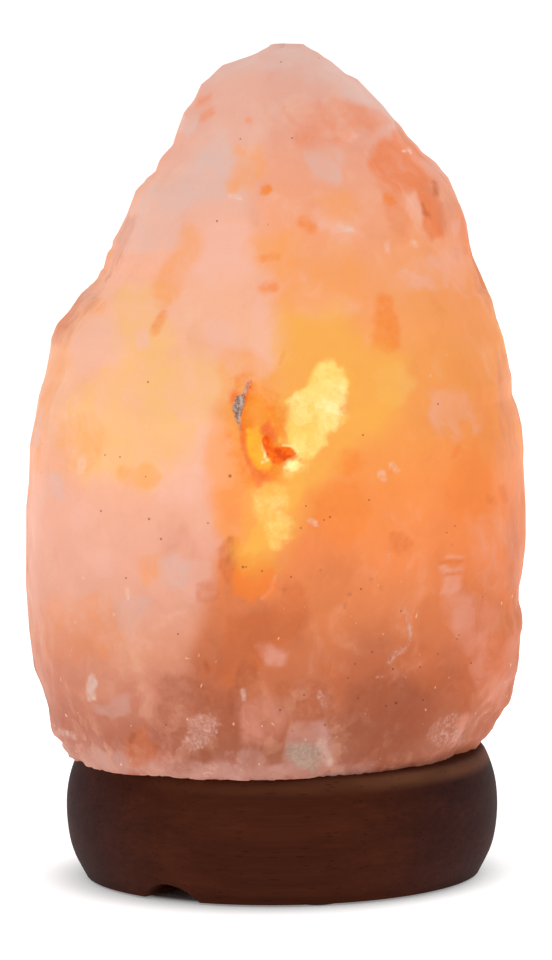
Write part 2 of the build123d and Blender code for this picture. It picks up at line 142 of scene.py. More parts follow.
# outline seen from there, carried to the plane y = 0: height, edge
LEFT = np.array((
    (29.0, -50.1), (31.4, -50.9), (32.6, -51.9), (35.4, -53.5), (41.0, -54.1), (48.6, -57.1), (57.5, -58.1),
    (68.2, -58.7), (86.2, -58.3), (92.0, -57.6), (100.8, -57.2), (106.8, -55.9), (111.9, -55.0), (116.7, -53.4),
    (122.7, -52.2), (125.0, -52.0), (128.3, -50.6), (131.5, -47.6), (135.8, -44.6), (137.0, -42.6), (138.5, -41.0),
    (139.9, -40.7), (140.6, -39.8), (144.5, -38.8), (145.9, -37.6), (147.5, -37.4), (149.6, -36.1), (153.7, -34.0),
    (159.2, -31.9), (160.8, -30.1), (161.7, -29.5), (163.3, -27.4), (165.5, -26.6), (166.7, -25.9), (169.4, -23.3),
    (171.2, -22.8), (177.0, -20.6), (178.8, -18.9), (180.1, -18.1), (183.3, -16.6), (184.4, -15.0), (187.4, -11.9),
    (187.9, -10.2), (189.2, -6.2), (189.9, -4.3), (191.6, -0.9), (192.0, 1.2), (192.3, 3.0)))
RIGHT = np.array((
    (29.1, 46.6), (31.0, 46.9), (32.8, 49.0), (36.1, 50.5), (37.0, 51.4), (38.4, 52.0), (38.9, 52.5), (41.7, 53.7),
    (48.7, 55.2), (55.2, 55.7), (57.3, 56.2), (60.1, 56.1), (62.7, 55.3), (66.0, 55.4), (69.2, 56.1), (75.1, 56.9),
    (78.1, 57.1), (85.3, 57.1), (95.1, 56.6), (98.6, 56.7), (103.7, 56.3), (107.6, 55.4), (111.1, 54.1), (115.5, 54.0),
    (116.9, 53.6), (124.1, 52.2), (128.3, 50.7), (132.7, 49.7), (143.1, 45.4), (145.4, 44.8), (150.5, 44.0),
    (153.7, 43.0), (160.7, 40.0), (164.4, 37.0), (166.9, 33.9), (168.5, 32.8), (170.9, 30.4), (173.2, 29.0),
    (174.8, 27.3), (177.8, 25.0), (184.1, 19.0), (185.2, 16.5), (188.3, 12.9), (189.0, 11.6), (190.2, 10.1),
    (191.8, 6.2), (192.1, 4.5), (192.3, 3.0)))
# height, front edge, back edge
DEPTHS = np.array((
    (29.5, -48.4, 46.8), (33.4, -49.9, 48.8), (38.3, -51.2, 50.6), (44.0, -52.6, 52.2), (51.0, -53.6, 53.4),
    (59.0, -54.3, 53.9), (68.0, -54.6, 54.5), (76.0, -54.8, 54.76), (85.0, -54.7, 54.6), (94.0, -54.2, 54.1),
    (102.8, -53.0, 53.7), (111.0, -51.2, 52.8), (118.0, -49.2, 51.8), (125.0, -46.9, 50.7), (130.0, -45.0, 49.6),
    (134.6, -43.1, 48.2), (138.8, -41.2, 46.8), (145.0, -38.0, 44.8), (152.4, -34.0, 41.8), (160.6, -28.8, 37.4),
    (168.8, -22.8, 31.6), (177.1, -16.2, 24.4), (184.0, -10.4, 16.8), (189.3, -5.0, 9.4), (191.7, -1.4, 4.6),
    (192.3, 1.8, 1.8)))
POWER = 2.3
# where the front of the saw-cut lower edge runs, left to right
FOOT = np.array((
    (-47.3, -17.7), (-44.8, -28.8), (-41.9, -34.4), (-35.2, -39.2), (-25.8, -41.9), (-18.9, -46.0), (-12.0, -47.7),
    (-5.1, -49.7), (4.1, -47.9), (10.4, -45.4), (17.4, -42.0), (23.1, -39.5), (27.3, -35.9), (31.3, -31.1),
    (36.2, -24.5), (39.6, -18.7), (43.0, -12.9), (46.2, -5.0)))
# hewn faces: outward direction, depth of the cut
HEWN = (
    (0.565, -0.808, -0.171, 5.6), (-0.640, -0.765, 0.070, 2.6), (0.150, -0.970, 0.190, 1.5),
    (-0.250, -0.830, 0.500, 2.6), (0.470, -0.700, 0.538, 3.6), (-0.560, -0.470, 0.682, 3.2),
    (0.690, 0.640, 0.335, 4.0), (-0.650, 0.740, 0.170, 4.2), (0.050, 0.950, 0.310, 2.4),
    (0.360, 0.900, -0.240, 4.6), (-0.480, 0.620, 0.620, 4.0), (0.400, 0.560, 0.725, 3.2),
    (-0.780, -0.440, -0.440, 2.2), (0.100, -0.420, 0.902, 1.6),
)
# outlines on the front, as x and z: the broken pit with its crack on the left, and the scarp under the
# right shoulder
PIT = ((-6.9, 119.8), (-9.2, 110.0), (-7.2, 103.3), (-3.6, 97.7), (1.0, 99.6), (2.2, 103.0), (0.6, 108.6),
       (-1.9, 114.6), (-4.6, 119.6))
SCARP = ((20.5, 168.5), (23.4, 163.6), (28.3, 160.9), (32.3, 155.3), (30.5, 153.1), (37.8, 145.1), (42.4, 135.6),
         (62.0, 134.0), (62.0, 176.0), (25.0, 174.0))
BORE_R, BORE_STRAIGHT = 22.5, 92.0
COLS, ROWS = 392, 206


def signed_power(v, e):
    return np.sign(v) * np.abs(v) ** e


def ring_angles():
    """Angles of a ring's points, evenly spaced along it and closer together on the front."""
    a = np.linspace(0, 2 * math.pi, 14401)
    x, y = signed_power(np.cos(a), 2 / POWER), signed_power(np.sin(a), 2 / POWER)
    mid = (a[1:] + a[:-1]) / 2
    step = np.hypot(np.diff(x), np.diff(y)) * (1 + 0.85 * np.exp(-((mid - 1.5 * math.pi) / 0.55) ** 2))
    run = np.concatenate(([0], np.cumsum(step)))
    return np.interp(np.arange(COLS) / COLS * run[-1], run, a)


def block_outside():
    """Rows of points over the outside of the block, from its lower edge to its crest, shape (rows, cols, 3)."""
    z = np.linspace(29.5, 192.3, 600)
    xl, xr = np.interp(z, *LEFT.T), np.interp(z, *RIGHT.T)
    run = np.concatenate(([0], np.cumsum(np.hypot(np.diff(z), np.diff(xr - xl) / 2))))
    fine = np.linspace(0, run[-1], 4001)
    weight = 1 + 0.7 * np.exp(-((np.interp(fine, run, z) - 107.0) / 19.0) ** 2)
    along = np.concatenate(([0], np.cumsum((weight[1:] + weight[:-1]) / 2)))
    s = np.interp(np.linspace(0, along[-1], ROWS), along, fine)
    zz = np.interp(s, run, z)
    xl, xr = np.interp(s, run, xl), np.interp(s, run, xr)
    yf, yb = np.interp(zz, DEPTHS[:, 0], DEPTHS[:, 1]), np.interp(zz, DEPTHS[:, 0], DEPTHS[:, 2])
    a = ring_angles()
    cx, sy = signed_power(np.cos(a), 2 / POWER), signed_power(np.sin(a), 2 / POWER)
    x = cx[None, :] * ((xr - xl) / 2)[:, None] + ((xl + xr) / 2)[:, None]
    y = sy[None, :] * ((yb - yf) / 2)[:, None] + ((yf + yb) / 2)[:, None]
    # bring the foot to its measured outline; the change fades out up the block
    ang = np.degrees(np.arctan2(y[0], x[0])) % 360
    fa = np.degrees(np.arctan2(FOOT[:, 1], FOOT[:, 0])) % 360
    fr = np.interp(ang, fa, np.hypot(FOOT[:, 0], FOOT[:, 1]))
    ratio = fr / np.hypot(x[0], y[0])
    ends = smooth(ang, fa[0] - 2, fa[0] + 10) * (1 - smooth(ang, fa[-1] - 10, fa[-1] + 2))
    ratio = 1 + (ratio - 1) * ends
    ratio = blurred(np.tile(ratio, 3), 3)[COLS:2 * COLS]
    grow = 1 + (ratio[None, :] - 1) * (1 - smooth(zz, 33.0, 58.0))[:, None]
    return np.stack((x * grow, y * grow, np.repeat(zz[:, None], COLS, 1)), 2)


def seen_at(p):
    """Where points stand in the plane y = 0 when looked at from the photograph's viewpoint: x, z."""
    t = -EYE[1] / (p[..., 1] - EYE[1])
    return EYE[0] + (p[..., 0] - EYE[0]) * t, EYE[2] + (p[..., 2] - EYE[2]) * t


def grid_normals(g):
    du = np.roll(g, -1, 1) - np.roll(g, 1, 1)
    dv = np.empty_like(g)
    dv[1:-1] = g[2:] - g[:-2]
    dv[0], dv[-1] = g[1] - g[0], g[-1] - g[-2]
    n = np.cross(du, dv)
    length = np.linalg.norm(n, axis=2, keepdims=True)
    n = n / np.maximum(length, 1e-9)
    n[-1] = (0, 0, 1)
    return n


def shape_block():
    g = block_outside()
    p = g.reshape(-1, 3).copy()
    row = np.repeat(np.arange(ROWS), COLS)
    planes = []
    for nx, ny, nz, cut in HEWN:
        n = np.array((nx, ny, nz)) / math.sqrt(nx * nx + ny * ny + nz * nz)
        planes.append((n, (p @ n).max() - cut))
    for n, d in planes:
        over = p @ n - d
        cutback = 0.5 * (over + np.sqrt(over * over + 0.7)) - 0.5 * (-6 + math.sqrt(36 + 0.7))
        p -= np.where(over > -6, np.maximum(cutback, 0), 0)[:, None] * n
    g = p.reshape(ROWS, COLS, 3)
    nrm = grid_normals(g).reshape(-1, 3)
    # chips from the quarrying: big flat ones, then smaller ones on them, sharper low down
    low = 1 - smooth(p[:, 2] + 6 * fbm(p, 26.0, 2, 40), 56.0, 92.0)
    warp = np.stack([fbm(p, 30.0, 2, 50 + k) for k in range(3)], 1) * 5.0
    q = p + warp
    h1 = chipped(q, 27.0, 46.0, 0.10, 0.16, 100)
    h2 = chipped(q * (1.0, 1.0, 0.8), 11.0, 26.0, 0.12, 0.06, 200)
    h3 = chipped(p + 0.25 * warp, 4.6, 12.0, 0.14, 0.03, 300)
    h = 0.36 * (h1 - h1.mean()) + (0.13 + 0.27 * low) * (h2 - h2.mean()) + (0.07 + 0.32 * low) * (h3 - h3.mean())
    h += 0.14 * fbm(p, 6.0, 3, 400) + (0.04 + 0.08 * low) * fbm(p, 1.9, 2, 410)
    h = np.clip(h, -2.4, 1.3)
    h *= 1 - 0.6 * smooth(p[:, 2], 186.0, 192.0)
    # the lower edge stays in the plane of the saw cut, a little crumbled
    move = nrm * h[:, None]
    move[:, 2] *= smooth(p[:, 2], 29.6, 34.0)
    p = p + move
    g = p.reshape(ROWS, COLS, 3)
    # each ring's outermost points go to the measured outline: broad changes reach far in, narrow ones don't
    rows = np.arange(ROWS)
    for turn in range(10):
        g[:, :, 2] += (192.3 - seen_at(g)[1].max()) * smooth(g[:, :, 2], 160.0, 190.0)
        sx, sz = seen_at(g)
        lo, hi = sx.argmin(1), sx.argmax(1)
        dl = np.interp(sz[rows, lo], *LEFT.T) - sx[rows, lo]
        dr = np.interp(sz[rows, hi], *RIGHT.T) - sx[rows, hi]
        left, right = g[rows, lo, 0], g[rows, hi, 0]
        mid = (left + right) / 2
        reach_l = np.clip((mid[:, None] - g[:, :, 0]) / np.maximum(mid - left, 1e-6)[:, None], 0, 1)
        reach_r = np.clip((g[:, :, 0] - mid[:, None]) / np.maximum(right - mid, 1e-6)[:, None], 0, 1)
        for d, reach, tip in ((dl, reach_l, lo), (dr, reach_r, hi)):
            broad = blurred(d, 6)
            away = g[:, :, 1] - blurred(g[rows, tip, 1], 2)[:, None]
            local = reach ** 3 * np.exp(-(away / 12.0) ** 2)
            g[:, :, 0] += broad[:, None] * reach ** 1.6 + blurred(d - broad, 0.6)[:, None] * local
    # crumbled lower edge
    p = g.reshape(-1, 3)
    crumb = 0.55 + 0.9 * np.abs(fbm(p, 5.0, 3, 600))
    r = np.hypot(p[:, 0], p[:, 1])
    tuck = crumb * (1 - smooth(p[:, 2], 29.6, 31.6))
    p[:, 0] -= p[:, 0] / r * tuck
    p[:, 1] -= p[:, 1] / r * tuck
    # scarp and pit on the front
    nrm = grid_normals(p.reshape(ROWS, COLS, 3)).reshape(-1, 3)
    x, z, front = p[:, 0], p[:, 2], p[:, 1] < 0
    wob = fbm(p, 5.0, 3, 700)
    d = depth_inside(x, z, SCARP) + 0.7 * wob
    drop = 0.95 * smooth(d, -0.4, 1.0) * (1 - smooth(d, 2.0, 12.0))
    d = depth_inside(x, z, PIT) + 0.5 * wob
    floor_depth = (3.7 - 0.30 * np.clip(x + 9.0, 0, 11)) * smooth(d, -0.3, 1.5)
    flap = depth_inside(x, z, ((-5.2, 108.6), (-2.6, 108.9), (-0.4, 106.3), (1.9, 105.6), (1.0, 103.4), (-1.7, 102.2),
                               (-2.6, 105.4))) + 0.4 * wob
    floor_depth -= 1.5 * smooth(flap, -0.5, 0.6)
    grain = 0.35 * fbm(p, 1.6, 2, 710) * smooth(d, -0.2, 1.0)
    drop = np.where(front, drop + np.maximum(floor_depth, 0) + grain, 0)
    p = p - nrm * drop[:, None]
    # the sawn edge has lost small crumbs: its outermost line rises a little here and there
    lost = 0.75 * smooth(fbm(p, 4.2, 3, 720), -0.05, 0.5) + 0.25 * smooth(fbm(p, 1.3, 2, 730), 0.0, 0.5)
    p[:, 2] = np.where(row == 0, 29.5 + lost, np.maximum(p[:, 2], 29.6 + np.where(row < 4, 0.35 * row + lost, 0.0)))
    return p.reshape(ROWS, COLS, 3)


# === end of block shape ===
def place(p):
    """Millimetres from the shared axis to metres in the row frame."""
    q = np.array(p, float).reshape(-1, 3) * MM
    q[:, 0] += AXIS_X * MM
    return q


def mesh_object(name, verts, faces, smooth_faces=True):
    me = bpy.data.meshes.new(name)
    me.from_pydata([tuple(v) for v in verts], [], [tuple(f) for f in faces])
    me.update()
    if smooth_faces:
        me.polygons.foreach_set("use_smooth", [True] * len(me.polygons))
    ob = bpy.data.objects.new(name, me)
    bpy.context.scene.collection.objects.link(ob)
    return ob


def grid_faces(rows, cols, start=0):
    r, c = np.meshgrid(np.arange(rows - 1), np.arange(cols), indexing="ij")
    a = start + r * cols + c
    b = start + r * cols + (c + 1) % cols
    return np.stack((a, b, b + cols, a + cols), 2).reshape(-1, 4)


def set_field(ob, name, values):
    at = ob.data.attributes.new(name, "FLOAT", "POINT")
    at.data.foreach_set("value", np.asarray(values, np.float32))


# =============================================================================================
# camera: where the photograph was taken from.  Its frame is 552 by 960.
# =============================================================================================
FOCAL, PITCH, ROLL = 6103.0, math.radians(6.57), math.radians(0.65)
FWD = np.array((0, math.cos(PITCH), -math.sin(PITCH)))
SIDE0 = np.array((1.0, 0, 0))
UP0 = np.cross(SIDE0, FWD)
SIDE = SIDE0 * math.cos(ROLL) - UP0 * math.sin(ROLL)
UP = SIDE0 * math.sin(ROLL) + UP0 * math.cos(ROLL)


def sight(px, py):
    d = FWD + (px - 276) / FOCAL * SIDE + (480 - py) / FOCAL * UP
    return d / np.linalg.norm(d)


# =============================================================================================
# node helpers
# =============================================================================================
def tint(r, g, b):
    """A paint colour given as 0..255 display values."""
    def lin(v):
        v /= 255.0
        return v / 12.92 if v <= 0.04045 else ((v + 0.055) / 1.055) ** 2.4
    return (lin(r), lin(g), lin(b))


class Nodes:
    """Small builder for one material's node tree."""

    def __init__(self, name):
        self.mat = bpy.data.materials.new(name)
        self.mat.use_nodes = True
        self.t = self.mat.node_tree
        self.t.nodes.clear()
        self.out = self.t.nodes.new("ShaderNodeOutputMaterial")
        self.bsdf = self.t.nodes.new("ShaderNodeBsdfPrincipled")
        self.t.links.new(self.bsdf.outputs[0], self.out.inputs["Surface"])
        self.coord = self.t.nodes.new("ShaderNodeTexCoord").outputs["Object"]

    def put(self, sock, v):
        if v is None:
            return
        if isinstance(v, bpy.types.NodeSocket):
            self.t.links.new(v, sock)
        elif isinstance(v, (tuple, list)) and sock.type == "RGBA" and len(v) == 3:
            sock.default_value = (*v, 1.0)
        else:
            sock.default_value = v

    def set(self, **kw):
        for k, v in kw.items():
            self.put(self.bsdf.inputs[k.replace("_", " ")], v)

    def field(self, name):
        n = self.t.nodes.new("ShaderNodeAttribute")
        n.attribute_name = name
        return n.outputs["Fac"]

    def math(self, op, a, b=None, c=None, clamp=False):
        n = self.t.nodes.new("ShaderNodeMath")
        n.operation = op
        n.use_clamp = clamp
        self.put(n.inputs[0], a)
        self.put(n.inputs[1], b)
        self.put(n.inputs[2], c)
        return n.outputs[0]

    def add(self, *terms):
        out = terms[0]
        for t in terms[1:]:
            out = self.math("ADD", out, t)
        return out

    def mul(self, *terms):
        out = terms[0]
        for t in terms[1:]:
            out = self.math("MULTIPLY", out, t)
        return out

    def centred(self, v, gain):
        """(v - 0.5) * gain"""
        return self.math("MULTIPLY_ADD", v, gain, -0.5 * gain)

    def vmath(self, op, a, b=None, scale=None):
        n = self.t.nodes.new("ShaderNodeVectorMath")
        n.operation = op
        self.put(n.inputs[0], a)
        self.put(n.inputs[1], b)
        if scale is not None:
            self.put(n.inputs["Scale"], scale)
        return n.outputs["Value"] if op in ("LENGTH", "DISTANCE", "DOT_PRODUCT") else n.outputs[0]

    def parts(self, v):
        n = self.t.nodes.new("ShaderNodeSeparateXYZ")
        self.put(n.inputs[0], v)
        return n.outputs[0], n.outputs[1], n.outputs[2]

    def mix(self, f, a, b, mode="MIX"):
        n = self.t.nodes.new("ShaderNodeMix")
        n.data_type = "RGBA"
        n.blend_type = mode
        n.clamp_factor = True
        self.put(n.inputs[0], f)
        self.put(n.inputs[6], a)
        self.put(n.inputs[7], b)
        return n.outputs[2]

    def blendf(self, f, a, b):
        n = self.t.nodes.new("ShaderNodeMix")
        n.data_type = "FLOAT"
        n.clamp_factor = True
        self.put(n.inputs[0], f)
        self.put(n.inputs[2], a)
        self.put(n.inputs[3], b)
        return n.outputs[0]

    def ramp(self, f, stops, kind="EASE"):
        n = self.t.nodes.new("ShaderNodeValToRGB")
        n.color_ramp.interpolation = kind
        els = n.color_ramp.elements
        while len(els) < len(stops):
            els.new(0.5)
        for e, (pos, col) in zip(els, sorted(stops)):
            e.position = pos
            e.color = (*col, 1.0) if len(col) == 3 else col
        self.put(n.inputs[0], f)
        return n.outputs[0]

    def span(self, v, lo, hi, a=0.0, b=1.0, smoothed=True):
        n = self.t.nodes.new("ShaderNodeMapRange")
        n.interpolation_type = "SMOOTHSTEP" if smoothed else "LINEAR"
        n.clamp = True
        for i, x in enumerate((v, lo, hi, a, b)):
            self.put(n.inputs[i], x)
        return n.outputs[0]

    def noise(self, scale, detail=3.0, rough=0.5, at=None, warp=0.0, colour=False):
        n = self.t.nodes.new("ShaderNodeTexNoise")
        self.put(n.inputs["Vector"], at or self.coord)
        self.put(n.inputs["Scale"], scale)
        self.put(n.inputs["Detail"], detail)
        self.put(n.inputs["Roughness"], rough)
        self.put(n.inputs["Distortion"], warp)
        return n.outputs["Color" if colour else "Fac"]

    def cell(self, scale, at=None, feature="F1", soft=0.0, rand=1.0, dist="EUCLIDEAN"):
        """Distance, colour outputs of a cell pattern."""
        n = self.t.nodes.new("ShaderNodeTexVoronoi")
        n.feature = feature
        n.distance = dist
        self.put(n.inputs["Vector"], at or self.coord)
        self.put(n.inputs["Scale"], scale)
        self.put(n.inputs["Randomness"], rand)
        if feature == "SMOOTH_F1":
            self.put(n.inputs["Smoothness"], soft)
        return n.outputs["Distance"], n.outputs.get("Color")

    def scaled(self, sx, sy, sz, at=None, rot=(0, 0, 0), loc=(0, 0, 0)):
        n = self.t.nodes.new("ShaderNodeMapping")
        self.put(n.inputs["Vector"], at or self.coord)
        n.inputs["Scale"].default_value = (sx, sy, sz)
        n.inputs["Rotation"].default_value = rot
        n.inputs["Location"].default_value = loc
        return n.outputs[0]

    def bump(self, height, strength, depth, before=None):
        n = self.t.nodes.new("ShaderNodeBump")
        self.put(n.inputs["Strength"], strength)
        self.put(n.inputs["Distance"], depth)
        self.put(n.inputs["Height"], height)
        if before is not None:
            self.put(n.inputs["Normal"], before)
        return n.outputs[0]


def wear(ob, mat):
    ob.data.materials.clear()
    ob.data.materials.append(mat)
    return ob


# =============================================================================================
# rock salt: mesh
# =============================================================================================
def build_block():
    g = shape_block()
    out = g[0]
    # saw-cut underside in to the bore, then the bore's wall and its round end
    ang = np.unwrap(np.arctan2(out[:, 1], out[:, 0]))
    c, s = np.cos(ang), np.sin(ang)
    hole = np.stack((c * BORE_R, s * BORE_R, np.full(COLS, 29.5)), 1)
    inner = [(out * (1 - t) + hole * t) * (1, 1, 0) + (0, 0, 29.5) for t in np.concatenate(([0.035], np.linspace(0, 1, 7)[1:]))]
    for z in np.linspace(29.5, BORE_STRAIGHT, 12)[1:]:
        inner.append(np.stack((c * BORE_R, s * BORE_R, np.full(COLS, z)), 1))
    for t in np.linspace(0, math.pi / 2, 10)[1:-1]:
        r = BORE_R * math.cos(t)
        inner.append(np.stack((c * r, s * r, np.full(COLS, BORE_STRAIGHT + BORE_R * math.sin(t))), 1))
    inner = np.array(inner)
    n_out, n_in = len(g) - 1, len(inner)            # the crest row has shrunk to nearly a point: one vertex
    crest = g[-1].mean(0)
    pts = np.concatenate((g[:-1].reshape(-1, 3), inner.reshape(-1, 3), [[0, 0, BORE_STRAIGHT + BORE_R]], [crest]))
    top_i, bore_i = len(pts) - 1, len(pts) - 2
    faces = [tuple(f) for f in grid_faces(n_out, COLS)]
    last, start = (n_out - 1) * COLS, n_out * COLS
    end = start + (n_in - 1) * COLS
    for k in range(COLS):
        d = (k + 1) % COLS
        faces.append((last + k, last + d, top_i))
        faces.append((d, k, start + k, start + d))
        faces.append((end + k, end + d, bore_i))
    faces += [tuple(f) for f in grid_faces(n_in, COLS, start)]
    ob = mesh_object("rock_salt_block", place(pts), faces)
    bm = bmesh.new()
    bm.from_mesh(ob.data)
    bmesh.ops.recalc_face_normals(bm, faces=bm.faces)
    if bm.calc_volume(signed=True) < 0:
        bmesh.ops.reverse_faces(bm, faces=bm.faces)
    bm.to_mesh(ob.data)
    bm.free()
    ob.data.polygons.foreach_set("use_smooth", [True] * len(ob.data.polygons))
    # crisp arrises where the underside is sawn and at the mouth of the bore
    sharp = set()
    rim2 = start + 6 * COLS
    for k in range(COLS):
        d = (k + 1) % COLS
        sharp.add((min(k, d), max(k, d)))
        sharp.add((min(rim2 + k, rim2 + d), max(rim2 + k, rim2 + d)))
    for e in ob.data.edges:
        a, b = e.vertices
        if (min(a, b), max(a, b)) in sharp:
            e.use_edge_sharp = True
    is_in = np.zeros(len(pts))
    is_in[start + 6 * COLS:-1] = 1
    return ob, pts, is_in


block, block_pts, inside_bore = build_block()
tree = BVHTree.FromPolygons([tuple(v) for v in block_pts], [tuple(p.vertices) for p in block.data.polygons])


def on_rock(px, py):
    """The point of the block's surface seen at a pixel of the photograph's frame."""
    hit = tree.ray_cast(Vector(EYE), Vector(sight(px, py)))[0]
    if hit is None:
        d = sight(px, py)
        return EYE + d * ((-4.0 - EYE[1]) / d[1])
    return np.array(hit)


PX = 0.2205              # millimetres to a pixel at the front of the block

